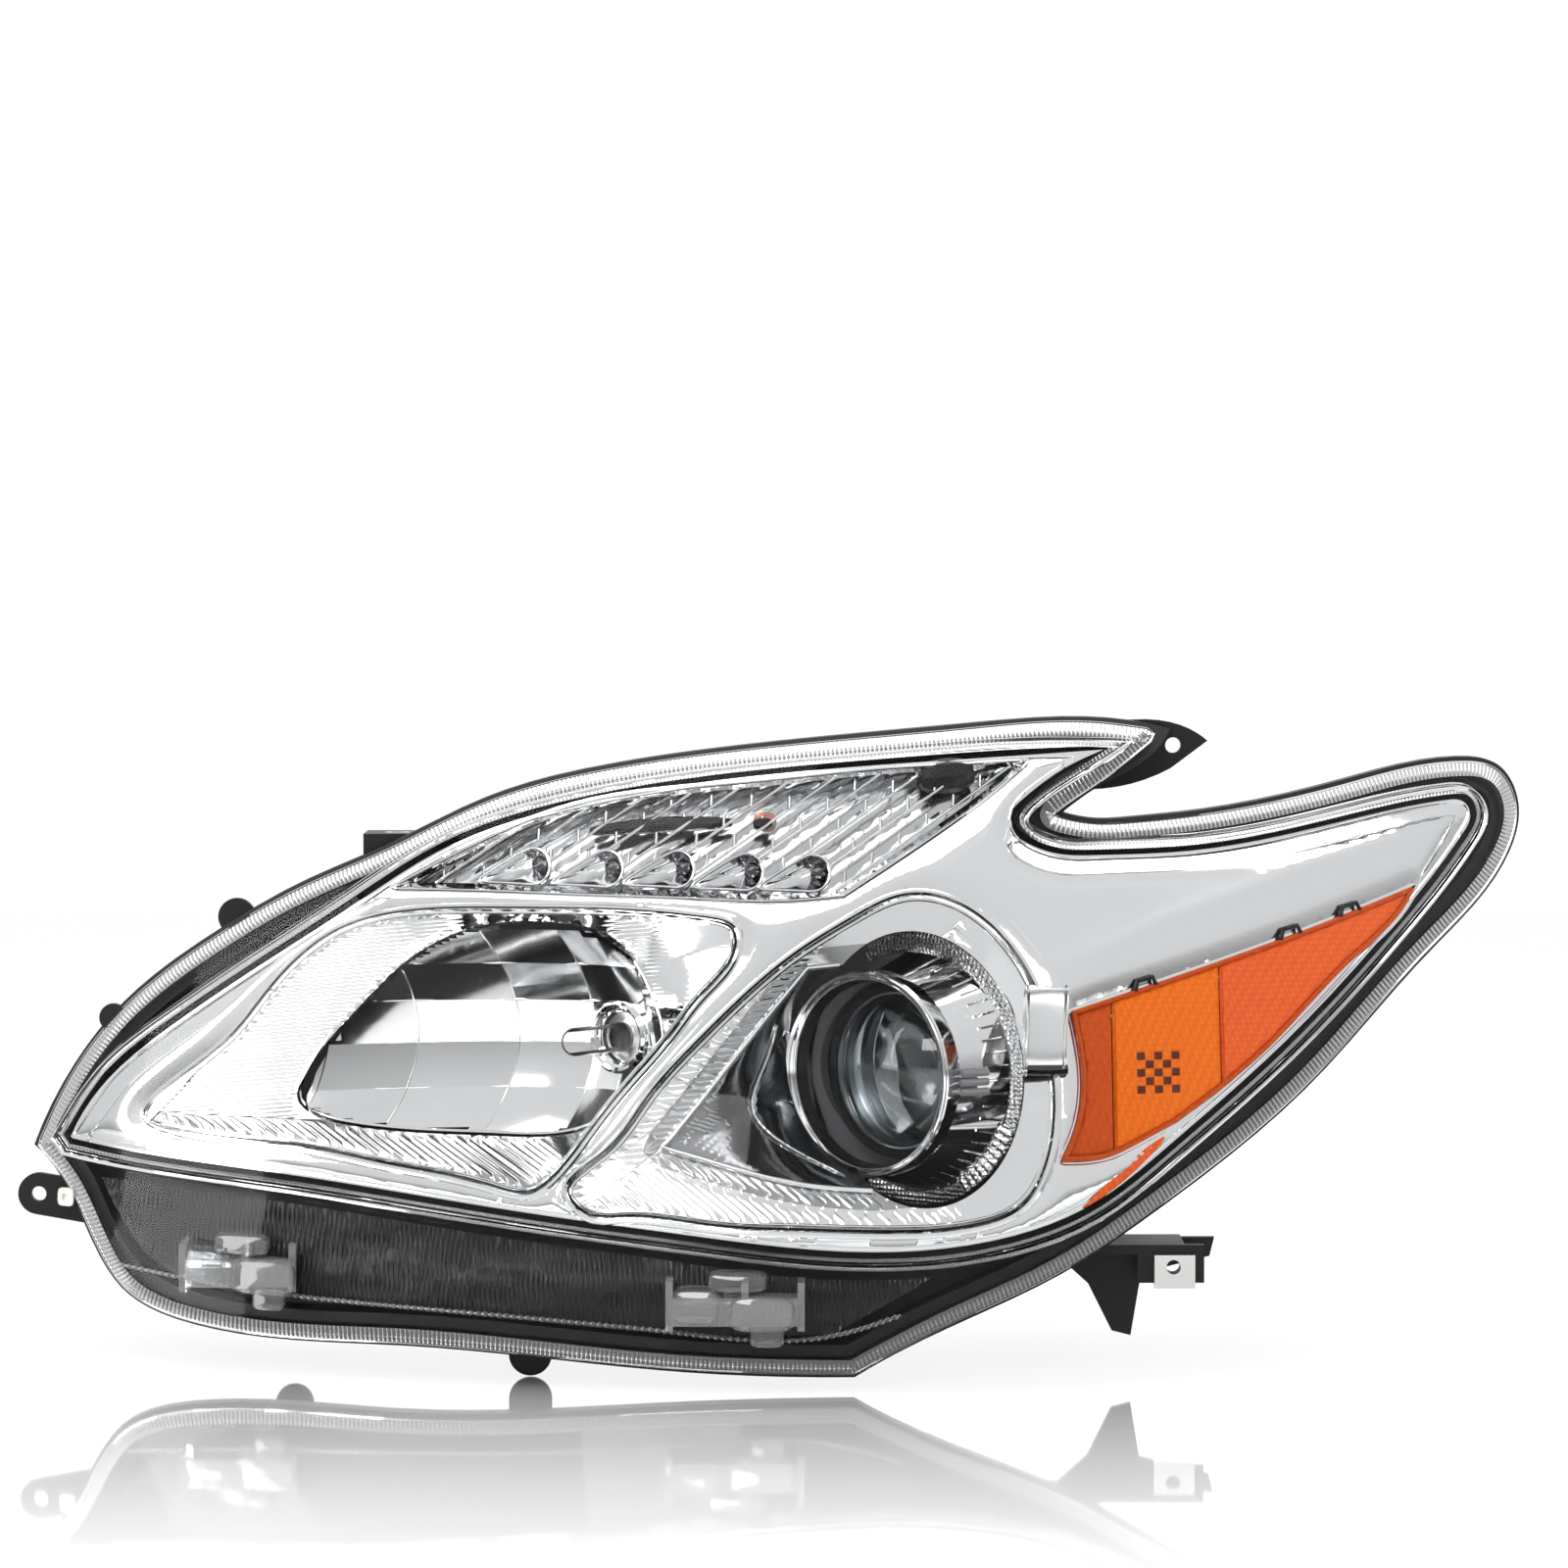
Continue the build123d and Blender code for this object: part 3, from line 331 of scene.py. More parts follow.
def dotted(name, color):
    """Bright metal pressed with small round dots."""
    tree, output = node_material(name)
    base = shader(tree, "BsdfPrincipled", Base_Color=color + (1,), Metallic=1.0, Roughness=0.16)
    bump_from(tree, pattern(tree, "TexVoronoi", Scale=520.0, Randomness=0.2), 0.9, 0.0006, base)
    link(tree, base, output)


def make_materials():
    clear("clear_lens", (0.99, 0.992, 0.994), ior=1.16)
    plastic("black_housing", (0.012, 0.012, 0.013), 0.42)
    metal("bright_trim", (0.93, 0.935, 0.94), 0.07)
    plastic("black_trim", (0.014, 0.014, 0.015), 0.28, coat=0.12)
    amber("amber_plastic", (0.86, 0.21, 0.012))
    clear("clear_inner", (0.95, 0.955, 0.96), rough=0.06, ripple=(160.0, 0.5))
    clear("clear_thick", (0.90, 0.91, 0.92), rough=0.05, ior=1.7, haze=0.10)
    plastic("sealant", (0.05, 0.05, 0.05), 0.6)
    plastic("seal_rubber", (0.03, 0.03, 0.032), 0.55)
    metal("zinc_steel", (0.72, 0.72, 0.70), 0.28, wave=180.0)
    metal("brass_insert", (0.75, 0.58, 0.30), 0.25, wave=180.0)
    metal("cast_aluminium", (0.60, 0.61, 0.62), 0.34, wave=400.0, strength=0.4)
    clear("projector_glass", (0.90, 0.93, 0.95), rough=0.01, ior=1.55)
    clear("bulb_glass", (0.99, 0.99, 0.995), rough=0.01, ior=1.13)
    clear("amber_bulb_glass", (0.95, 0.45, 0.10), rough=0.02, haze=0.2)
    plastic("grey_plastic", (0.20, 0.20, 0.21), 0.45)
    plastic("nylon", (0.70, 0.68, 0.62), 0.4)
    clear("knurl_clear", (0.62, 0.63, 0.64), rough=0.12, haze=0.45, milk=0.22)
    clear("clear_bead", (0.93, 0.94, 0.95), ior=1.6)
    # Darker copies of bright_trim: the same chrome with painted shade put into its colour.
    metal("painted_shade_dark_trim", (0.30, 0.303, 0.31), 0.14)
    metal("painted_shade_bead", (0.09, 0.09, 0.095), 0.08)
    metal("painted_shade_grey_trim", (0.46, 0.465, 0.47), 0.16)
    metal("painted_shade_mid_trim", (0.66, 0.665, 0.67), 0.17)
    metal("satin_trim", (0.88, 0.885, 0.89), 0.24)
    metal("bright_line", (0.95, 0.955, 0.96), 0.16)
    dotted("halo_dots", (0.90, 0.905, 0.91))
    amber("amber_gold", (0.70, 0.135, 0.003))
    amber("amber_red", (0.66, 0.10, 0.016))
    # A darker copy of the amber: painted shade beside the barrel and along the opening's edge.
    amber("amber_painted_shade", (0.48, 0.062, 0.003))
    plastic("amber_black", (0.10, 0.022, 0.008), 0.25)


dict.fromkeys(("amber_gold", "amber_red", "amber_painted_shade", "amber_black"), "amber_plastic")
# Copies of bright_trim: the first four are darker, the chrome with painted shade in its colour; the last two
# are only rougher.
TRIMS = ("painted_shade_dark_trim", "painted_shade_bead", "painted_shade_grey_trim", "painted_shade_mid_trim", "satin_trim", "bright_line")
dict.fromkeys(TRIMS, "bright_trim")


# ---- outlines, (x, z) in draw frame millimetres, as in the CAD source ----
FACE_TOP = [
    (-314, -50), (-293, -19), (-265, 4), (-230, 28), (-187, 56), (-147, 81), (-99, 98), (-41, 109),
    (41, 117), (110, 121), (150, 120)]
FACE_FORK = [
    (150, 120), (127, 106), (108, 94), (103, 88), (110, 82), (132, 79), (173, 80), (244, 91), (290, 98),
    (303, 96), (308, 86), (302, 74), (267, 37), (212, -13), (163, -51), (131, -73), (89, -87), (29, -91),
    (-43, -84), (-104, -77), (-211, -65), (-286, -59), (-309, -56)]
FACE = [FACE_TOP, FACE_FORK, [(-309, -56), (-314, -50)]]
RIM_TOP = [
    (-320, -55), (-307, -28), (-282, 4), (-244, 33), (-204, 56), (-170, 71), (-126, 92), (-74, 106),
    (0, 116), (80, 123), (135, 125), (158, 122)]
RIM_FORK = [
    (158, 122), (134, 105), (118, 95), (112, 89), (120, 85), (147, 83), (174, 85), (246, 97), (300, 105),
    (316, 101), (322, 88), (317, 71), (276, 30), (221, -21), (154, -69), (114, -93), (66, -114), (28, -133)]
RIM_SKIRT = [(28, -133), (-43, -131), (-157, -124), (-249, -121), (-279, -110), (-307, -68), (-320, -55)]
RIM = [RIM_TOP, RIM_FORK, RIM_SKIRT]
HIGH_OPENING = [
    [(-271, -41), (-244, -12), (-218, 17), (-192, 40), (-158, 50), (-116, 52), (-74, 52), (-33, 49),
    (-20, 44), (-20, 35), (-33, 18), (-49, -2), (-65, -20), (-81, -40), (-95, -57), (-104, -63),
    (-122, -61), (-164, -54), (-206, -48), (-262, -44), (-271, -41)]]
LOW_OPENING = [
    [(66, 57), (51, 58), (29, 49), (4, 34), (-16, 18), (-37, -2), (-57, -24), (-75, -46), (-90, -63),
    (-84, -70), (-65, -72), (-32, -75), (8, -77), (48, -78), (78, -76), (99, -68), (110, -50), (113, -17),
    (106, 17), (87, 45), (66, 57)]]
TURN_OPENING = [
    [(-166, 59), (-125, 80), (-83, 95), (-42, 101), (0, 105), (42, 109), (83, 111), (104, 112)],
    [(104, 112), (93, 103), (66, 84), (41, 68), (25, 58)], [(25, 58), (0, 56), (-41, 57), (-82, 58),
    (-124, 59), (-166, 59)]]
AMBER_OPENING = [
    [(120, 10), (165, 23), (222, 40), (274, 57)], [(274, 57), (267, 47), (243, 27), (206, -6), (164, -36)],
    [(164, -36), (149, -43), (134, -49), (115, -50)], [(115, -50), (121, -37), (124, -21), (123, -5),
    (120, 10)]]
AMBER_TAIL = [[(151, -46), (158, -42), (143, -57), (124, -69)], [(124, -69), (136, -58), (151, -46)]]
BOWL_EDGE = [
    [(-205, -30), (-183, 6), (-158, 30), (-132, 43), (-100, 46), (-72, 40), (-55, 18), (-50, -6),
    (-62, -24), (-84, -38), (-120, -41), (-170, -40), (-205, -30)]]
SKIRT_TRIM = [
    [(-293, -67), (-211, -72), (-104, -84), (-43, -91), (29, -98), (62, -97)], [(62, -97), (20, -120)],
    [(20, -120), (-43, -120), (-157, -113), (-240, -109), (-268, -100), (-293, -67)]]


def lengths(p):
    """Distance along a line at each of its points."""
    return np.concatenate([[0], np.cumsum(np.linalg.norm(np.diff(p, axis=0), axis=1))])


def cubic(points, step):
    """A natural cubic spline through the points, by chord length, with a point about every step."""
    p = np.asarray(points, float)
    if len(p) == 2:
        count = max(2, int(np.linalg.norm(p[1] - p[0]) / step) + 1)
        return np.linspace(p[0], p[1], count)
    t = lengths(p)
    h = np.diff(t)
    n = len(p)
    a = np.eye(n)
    b = np.zeros((n, p.shape[1]))
    for i in range(1, n - 1):
        a[i, i - 1:i + 2] = h[i - 1], 2 * (h[i - 1] + h[i]), h[i]
        b[i] = 6 * ((p[i + 1] - p[i]) / h[i] - (p[i] - p[i - 1]) / h[i - 1])
    m = np.linalg.solve(a, b)
    s = np.linspace(0, t[-1], max(3, int(t[-1] / step) + 1))
    k = np.clip(np.searchsorted(t, s, side="right") - 1, 0, n - 2)
    w = (s - t[k])[:, None]
    hk = h[k][:, None]
    slope = (p[k + 1] - p[k]) / hk - hk * (2 * m[k] + m[k + 1]) / 6
    return p[k] + w * (slope + w * (m[k] / 2 + w * (m[k + 1] - m[k]) / (6 * hk)))


def trace(runs, step=LINE_STEP):
    """A closed outline as points, splined within each run and sharp between runs."""
    if len(runs) > 1:
        return np.vstack([cubic(run, step)[:-1] for run in runs])
    p = np.asarray(runs[0][:-1], float)
    wrap = 4
    around = np.vstack([p[-wrap:], p, p[:wrap + 1]])
    fine = cubic(around, step / 4)
    start = np.argmin(np.linalg.norm(fine[:len(fine) // 2] - p[0], axis=1))
    later = fine[start + len(fine) // 3:]
    stop = start + len(fine) // 3 + np.argmin(np.linalg.norm(later - p[0], axis=1))
    return resample(fine[start:stop], step=step)


def resample(loop, count=None, step=None, closed=True):
    """The same line with even spacing."""
    p = np.vstack([loop, loop[:1]]) if closed else np.asarray(loop, float)
    t = lengths(p)
    count = count or max(8, int(t[-1] / step))
    s = np.linspace(0, t[-1], count, endpoint=not closed)
    return np.column_stack([np.interp(s, t, p[:, i]) for i in range(p.shape[1])])


def nearest(points, line):
    """Distance from each point to the nearest point of a dense line."""
    points, line = np.asarray(points, float), np.asarray(line, float)
    result = np.empty(len(points))
    for i in range(0, len(points), 4000):
        gap = points[i:i + 4000, None, :] - line[None, :, :]
        result[i:i + 4000] = np.sqrt((gap ** 2).sum(2).min(1))
    return result


def outward(loop, reach=1):
    """Unit vectors that point out of a closed outline, from neighbours reach points away."""
    x, z = loop[:, 0], loop[:, 1]
    area = 0.5 * np.sum(np.roll(x, 1) * z - x * np.roll(z, 1))
    ahead = np.roll(loop, -reach, 0) - np.roll(loop, reach, 0)
    ahead /= np.linalg.norm(ahead, axis=1)[:, None] + 1e-9
    return math.copysign(1, area) * np.column_stack([ahead[:, 1], -ahead[:, 0]])


def moved(loop, distance):
    """The closed outline moved outwards by distance, or inwards if it is negative."""
    out = loop + distance * outward(loop)
    return out[nearest(out, loop) > abs(distance) * 0.96]


def cut(loop, point, way):
    """The part of a closed outline that lies on one side of a line through a point."""
    kept = []
    for p, q in zip(loop, np.roll(loop, -1, 0)):
        here, there = (p - point) @ way, (q - point) @ way
        if here >= 0:
            kept.append(p)
        if (here >= 0) != (there >= 0):
            kept.append(p + (q - p) * here / (here - there))
    kept = np.array(kept)
    gap = np.linalg.norm(kept - np.roll(kept, 1, 0), axis=1)
    return kept[gap > 0.05]


def inside(points, loop):
    """Which points lie inside a closed outline."""
    x, z = np.asarray(points, float).T
    result = np.zeros(len(x), bool)
    ahead = np.roll(loop, -1, 0)
    for (x0, z0), (x1, z1) in zip(loop, ahead):
        if z0 == z1:
            continue
        crosses = ((z0 > z) != (z1 > z)) & (x < (x1 - x0) * (z - z0) / (z1 - z0) + x0)
        result ^= crosses
    return result


# ---- mesh helpers ----
def piece(name, points, faces, material, body="lamp", sharp=35.0, slot=None):
    """A new piece from draw frame points, smooth but for its sharp edges, riding on a body."""
    mesh = bpy.data.meshes.new(name)
    mesh.from_pydata([tuple(c) for c in spots(points)], [], faces)
    mesh.validate()
    mesh.shade_smooth()
    mesh.set_sharp_from_angle(angle=math.radians(sharp))
    mesh.materials.append(MATERIALS[material])
    made = bpy.data.objects.new(name, mesh)
    bpy.context.scene.collection.objects.link(made)
    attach(made, body)
    return made


def field(name, loop, holes, steps, shape, material, lean=0.0, **more):
    """A sheet over an outline with holes. shape(x, z) is its depth behind the lens face. Inner points lie
    on a grid with the two steps, turned by lean degrees."""
    loops = [loop] + list(holes)
    low, high = loop.min(0), loop.max(0)
    middle, reach = (low + high) / 2, np.linalg.norm(high - low) / 2
    a = np.arange(-reach, reach, steps[0])
    b = np.arange(-reach, reach, steps[1])
    grid = np.array(np.meshgrid(a, b)).reshape(2, -1).T
    turn = math.radians(lean)
    spin = np.array([[math.cos(turn), math.sin(turn)], [-math.sin(turn), math.cos(turn)]])
    grid = grid @ spin + middle
    keep = inside(grid, loop)
    for hole in holes:
        keep[keep] = ~inside(grid[keep], hole)
    grid = grid[keep]
    border = np.vstack(loops)
    grid = grid[nearest(grid, border) > 0.35 * min(steps)]
    edges, start = [], 0
    for ring in loops:
        n = len(ring)
        edges += [(start + i, start + (i + 1) % n) for i in range(n)]
        start += n
    flat = [Vector(p) for p in np.vstack([border, grid])]
    verts, _, faces, *_ = delaunay_2d_cdt(flat, edges, [], 0, 1e-5)
    verts = np.array([tuple(v) for v in verts])
    faces = np.array(faces)
    centres = verts[faces].mean(1)
    keep = inside(centres, loop)
    for hole in holes:
        keep &= ~inside(centres, hole)
    used, faces = np.unique(faces[keep], return_inverse=True)
    flat = verts[used]
    return piece(name, on_lens(flat, shape(*flat.T)), faces.reshape(-1, 3).tolist(), material, **more)


def skin(lines, closed=True, start=0):
    """Faces between lines of equal count; start is the number of points before them."""
    count = len(lines[0])
    faces = []
    for a in range(start, start + (len(lines) - 1) * count, count):
        for i in range(count if closed else count - 1):
            j = (i + 1) % count
            faces.append((a + i, a + j, a + count + j, a + count + i))
    return faces


def loft(name, lines, material, closed=True, **more):
    """A skin through lines of equal count."""
    return piece(name, np.vstack(lines), skin(lines, closed), material, **more)


def stacks(name, groups, material):
    """Several skins in one piece, each through its own closed rows."""
    points, faces = [], []
    for rows in groups:
        faces += skin(rows, start=len(points))
        points += np.vstack(rows).tolist()
    return piece(name, points, faces, material)


def swept(path, radius, closed, sides):
    """Points and faces of a round bead along a path, with one radius or a radius for each point."""
    path = np.asarray(path, float)
    count = len(path)
    ahead = np.roll(path, -1, 0) - np.roll(path, 1, 0)
    if not closed:
        ahead[0], ahead[-1] = path[1] - path[0], path[-1] - path[-2]
    ahead /= np.linalg.norm(ahead, axis=1)[:, None] + 1e-9
    first = np.cross(ahead, (0, 1, 0))
    first /= np.linalg.norm(first, axis=1)[:, None] + 1e-9
    second = np.cross(ahead, first)
    radii = np.broadcast_to(radius, count)
    turns = 2 * math.pi * np.arange(sides) / sides
    rings = [path + radii[:, None] * (math.cos(a) * first + math.sin(a) * second) for a in turns]
    points = np.stack(rings, 1).reshape(-1, 3)
    faces = []
    for i in range(count if closed else count - 1):
        j = (i + 1) % count
        for k in range(sides):
            m = (k + 1) % sides
            faces.append((i * sides + k, j * sides + k, j * sides + m, i * sides + m))
    if not closed:
        faces.append(tuple(range(sides))[::-1])
        faces.append(tuple((count - 1) * sides + k for k in range(sides)))
    return points, faces


def tube(name, paths, radius, material, closed=True, sides=8, **more):
    """Round beads along one path or several."""
    if not isinstance(paths, list):
        paths = [paths]
    points, faces = [], []
    for path in paths:
        bead, corners = swept(path, radius, closed, sides)
        faces += [tuple(len(points) + c for c in corner) for corner in corners]
        points += bead.tolist()
    return piece(name, points, faces, material, **more)


def beam_point(place, across, up, ahead):
    """Draw frame points from offsets across and above a beam axis and ahead along it."""
    return np.asarray(place) + np.multiply.outer(across, ACROSS) + np.multiply.outer(up, UP) \
        - np.multiply.outer(ahead, LOW_AXIS)


def beam_ring(place, radius, angles, ahead):
    """Draw frame points round a beam axis."""
    return beam_point(place, radius * np.cos(angles), radius * np.sin(angles), np.full(len(angles), ahead))


def lathe(name, place, profile, material, sides=96, **more):
    """A turned skin about a beam axis, from (radius, ahead) points."""
    angles = np.radians(360.0 * np.arange(sides) / sides)
    lines = [beam_ring(place, radius, angles, ahead) for radius, ahead in profile]
    return loft(name, lines, material, **more)


def flute(across, pitch, height):
    """Rounded ribs: a row of half circles."""
    phase = (across / pitch) % 1.0
    return -height * np.sqrt(np.clip(1 - (2 * phase - 1) ** 2, 0, 1))


# ---- skirt and rim ----
BAND_ROWS, BAND_REACH = 4, 6


def band(name, loop, width, depths, pitch, height):
    """A knurled strip of the lens inside an outline; depths are at its outer and inner edges."""
    loop = resample(loop, step=pitch / 6)
    way = -outward(loop, BAND_REACH)
    knurl = flute(np.arange(len(loop)) * (pitch / 6), pitch, height)
    lines = []
    for k in range(BAND_ROWS + 1):
        s = k / BAND_ROWS
        rise = knurl * (0.0 if k in (0, BAND_ROWS) else 1.0)
        lines.append(on_lens(loop + way * width * s, depths[0] + (depths[1] - depths[0]) * s + rise))
    loft(name, lines, "knurl_clear")


def line_on(name, flat, depth, radius, material="bright_trim", **more):
    """A bead along a line that lies depth behind the lens face."""
    tube(name, on_lens(flat, depth), radius, material, **more)


def make_rims():
    rim, face = trace(RIM), trace(FACE)
    band("rim_knurl", moved(rim, 2.2), 5.6, (22.6, 21.1), 1.9, 0.55)
    line_on("rim_edge_line", moved(rim, 2.4), 22.8, 0.55, "clear_bead")
    line_on("face_edge_line", moved(face, -0.8), 0.6, 0.9, "clear_bead")
    line_on("face_step_line", moved(face, 0.3), 20.6, 0.6, "clear_bead")
    band("face_step_knurl", moved(face, -1.0), 2.0, (20.0, 17.5), 1.7, 0.4)


def make_skirt():
    def ribbed(x, z):
        fold = 1.2 * np.sin((z + 95) * 0.21)
        return 27.6 + fold + flute(x + 0.16 * z, 2.1, 0.75)

    made = field("skirt_ribs", trace(SKIRT_TRIM), [], (0.35, 6.0), ribbed, "black_trim", lean=-2.0)
    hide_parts("lower_trim")
    ridge = cubic([(-286, -102), (-243, -107), (-157, -112), (-43, -119), (20, -120), (48, -112)], 1.0)
    beaded = 0.9 + 0.45 * np.sin(np.arange(len(ridge)) * 2.1)
    line_on("skirt_ridge", ridge, 23.0, beaded, "knurl_clear", closed=False)
    lip = cubic([(-276, -113), (-249, -119), (-157, -122), (-43, -129), (24, -131)], LINE_STEP)
    line_on("skirt_lip", lip, 24.0, 0.9, "black_trim", closed=False)
    under = cubic([(-288, -60.5), (-211, -67), (-104, -79), (-43, -86), (29, -93), (86, -89)], LINE_STEP)
    line_on("skirt_top_line", under, 21.5, 0.7, "clear_bead", closed=False)


# ---- bezel ----
BOWL_CELLS_ACROSS = [-104, -72, -43, -14, 17, 52]
BOWL_CELLS_UP = [-48, -22, -3, 15, 31, 46]
PJ_TRIANGLE = [[(-50, -44), (-30, -20), (-8, 7), (10, 28)], [(10, 28), (34, 30), (70, 24), (82, 0)],
               [(82, 0), (76, -34), (62, -56), (38, -61)], [(38, -61), (5, -58), (-28, -50), (-50, -44)]]
ARM_CREASE = [(104, 25), (160, 47), (218, 66), (260, 78), (294, 88)]
# The bezel's edge inside the lens face, its depth and the width of its rounding.
BEZEL_IN, BEZEL_DEPTH, BEZEL_ROUND = -7.5, 13.8, 11.0
# The bend of the bowl's columns, points along a facet, depth of the bowl's rim and room for the bulb.
CELL_BEND, CELL_POINTS, BOWL_DEEP, BULB_CLEAR = 0.0016, 12, 27.4, 12.5


def make_frame_lines():
    lines = [("high_frame_line", HIGH_OPENING, 0.6, 13.2, 1.3),
             ("high_frame_inner_line", HIGH_OPENING, -2.4, 15.6, 0.6),
             ("low_frame_line", LOW_OPENING, 0.8, 13.0, 1.5),
             ("low_frame_inner_line", LOW_OPENING, -2.6, 15.4, 0.7),
             ("turn_frame_line", TURN_OPENING, 0.4, 13.6, 0.8)]
    for name, runs, out, depth, radius in lines:
        line_on(name, moved(trace(runs), out), depth, radius)
    # A darker amber bead along the amber opening's edge: painted shade.
    line_on("amber_border", moved(trace(AMBER_OPENING), -0.9), 12.4, 1.1, "amber_painted_shade")
    line_on("bezel_edge_line", moved(trace(FACE), BEZEL_IN), 13.6, 0.7)


def make_lips():
    """The sloped bright lip inside each opening of the bezel."""
    for name, runs, width, drop in (("high_lip", HIGH_OPENING, 2.8, 2.3), ("low_lip", LOW_OPENING, 3.0, 2.4),
                                    ("turn_lip", TURN_OPENING, 2.4, 6.0)):
        edge = trace(runs)
        outer = moved(edge, 0.3)

        def slope(x, z, outer=outer, width=width, drop=drop):
            return 13.5 + drop * np.clip(nearest(np.column_stack([x, z]), outer) / width, 0, 1)

        field(name, outer, [moved(edge, 0.3 - width)], (1.3, 1.3), slope, "bright_trim")


def make_bezel_skin():
    """The bezel's bright face, rounded over at every edge, with a crease along the fender arm."""
    loop = moved(trace(FACE), BEZEL_IN - 0.1)
    holes = [moved(trace(runs), 1.3) for runs in (HIGH_OPENING, LOW_OPENING, TURN_OPENING, AMBER_OPENING)]
    borders = np.vstack([loop] + holes)
    crease = np.array(ARM_CREASE, float)

    def face(x, z):
        near = np.clip(nearest(np.column_stack([x, z]), borders) / BEZEL_ROUND, 0, 1)
        fold = np.interp(x, crease[:, 0], crease[:, 1])
        slope = np.where(z > fold, 5.0, 13.0)
        ridge = 2.4 * np.exp(-np.abs(z - fold) / slope) * np.clip((x - 100) / 30, 0, 1)
        return BEZEL_DEPTH - (2.8 * np.sin(near * math.pi / 2) + ridge * np.clip(near * 1.4, 0, 1))

    field("bezel_skin", loop, holes, (2.2, 2.2), face, "bright_trim")


def turned(x, z, lean):
    """Distances along and across a direction that leans by so many degrees."""
    lean_cos, lean_sin = math.cos(math.radians(lean)), math.sin(math.radians(lean))
    return x * lean_cos + z * lean_sin, z * lean_cos - x * lean_sin


def ribs(x, z, lean, pitch, height):
    """Fine waves running along a leaning direction."""
    return height * (0.5 * np.cos(2 * math.pi * turned(x, z, lean)[1] / pitch) - 0.5)


def between(x, z, first, second):
    """Distances from points to two lines, and the share of the way from the first to the second."""
    flat = np.column_stack([x, z])
    near, far = nearest(flat, first), nearest(flat, second)
    return near, far, near / (near + far + 1e-6)


def make_high_surround():
    """The ribbed wall between the high beam's frame and its bowl, with the shelf below it in a darker copy of
    the chrome, a painted shade.
    """
    frame_loop, bowl = moved(trace(HIGH_OPENING), -2.6), trace(BOWL_EDGE)

    def wall(x, z, lean, pitch, height, fade):
        near, far, share = between(x, z, frame_loop, bowl)
        free = fade * np.clip(near / 1.5, 0, 1) * np.clip(far / 1.5, 0, 1)
        free = free * np.clip((near + far) / 10.0 - 0.6, 0, 1)
        return 15.2 + 6.2 * share + free * ribs(x, z, lean, pitch, height)

    def upper(x, z):
        return wall(x, z, 5.7, 1.7, 0.36, np.clip((-48 - x) / 14, 0, 1))

    def lower(x, z):
        return wall(x, z, -32.0, 2.1, 0.55, 1.0)

    edge = np.array([-240.0, -37.0])
    field("high_surround", cut(frame_loop, edge, (0, 1)), [bowl], (3.4, 0.28), upper, "bright_trim", lean=5.7)
    # The shelf is drawn in a darker copy of the chrome: painted shade.
    field("high_shelf", cut(frame_loop, edge, (0, -1)), [bowl], (5.0, 0.4), lower, "painted_shade_grey_trim", lean=-32.0)


def make_bowl():
    """Facets on the high beam bowl, columns across and rows up, each a little bulged."""
    edge = moved(trace(BOWL_EDGE), -1.5)
    points, faces = [], []
    gs, gt = np.meshgrid(np.linspace(-1, 1, CELL_POINTS), np.linspace(-1, 1, CELL_POINTS))
    bulge = 0.3 + 1.3 * (1 - gs * gs) + 0.5 * (1 - gt * gt)
    for a0, a1 in zip(BOWL_CELLS_ACROSS, BOWL_CELLS_ACROSS[1:]):
        for u0, u1 in zip(BOWL_CELLS_UP, BOWL_CELLS_UP[1:]):
            a = a0 + (a1 - a0) * (gs + 1) / 2
            u = u0 + (u1 - u0) * (gt + 1) / 2
            a = a + CELL_BEND * (u - 4) ** 2 * np.sign(a)
            flat = beam_point(HIGH_BEAM, a, u, (a * a + u * u) / (4 * HIGH_FOCUS) + bulge)
            start = len(points)
            points += flat.reshape(-1, 3).tolist()
            for i in range(CELL_POINTS - 1):
                for j in range(CELL_POINTS - 1):
                    k = start + i * CELL_POINTS + j
                    corner = [k, k + 1, k + CELL_POINTS + 1, k + CELL_POINTS]
                    middle = np.mean([points[c] for c in corner], 0)
                    deep = middle[1] - lens_y(middle[0], middle[2])
                    height = middle[2] + OPENING_LIFT * (deep - BOWL_OPENING)
                    clear_of_bulb = np.hypot(a[i, j], u[i, j]) > BULB_CLEAR
                    if clear_of_bulb and deep > BOWL_DEEP and inside([[middle[0], height]], edge)[0]:
                        faces.append(corner)
    piece("bowl_facets", points, faces, "bright_trim", body="carrier")
    make_bowl_grid(edge)
    ring = [(12.4, 1.5), (12.8, 4.5), (14.2, 5.2), (15.6, 4.2), (16.0, 2.4)]
    lathe("bowl_hole_ring", HIGH_BEAM, ring, "bright_trim", body="carrier", sides=64)
    collar = [(10.7, -1.4), (10.5, -0.7), (8.4, -0.4), (6.4, 0.8), (6.3, 2.4)]
    lathe("high_bulb_collar", HIGH_BEAM, collar, "zinc_steel", sides=48, body="high_bulb")


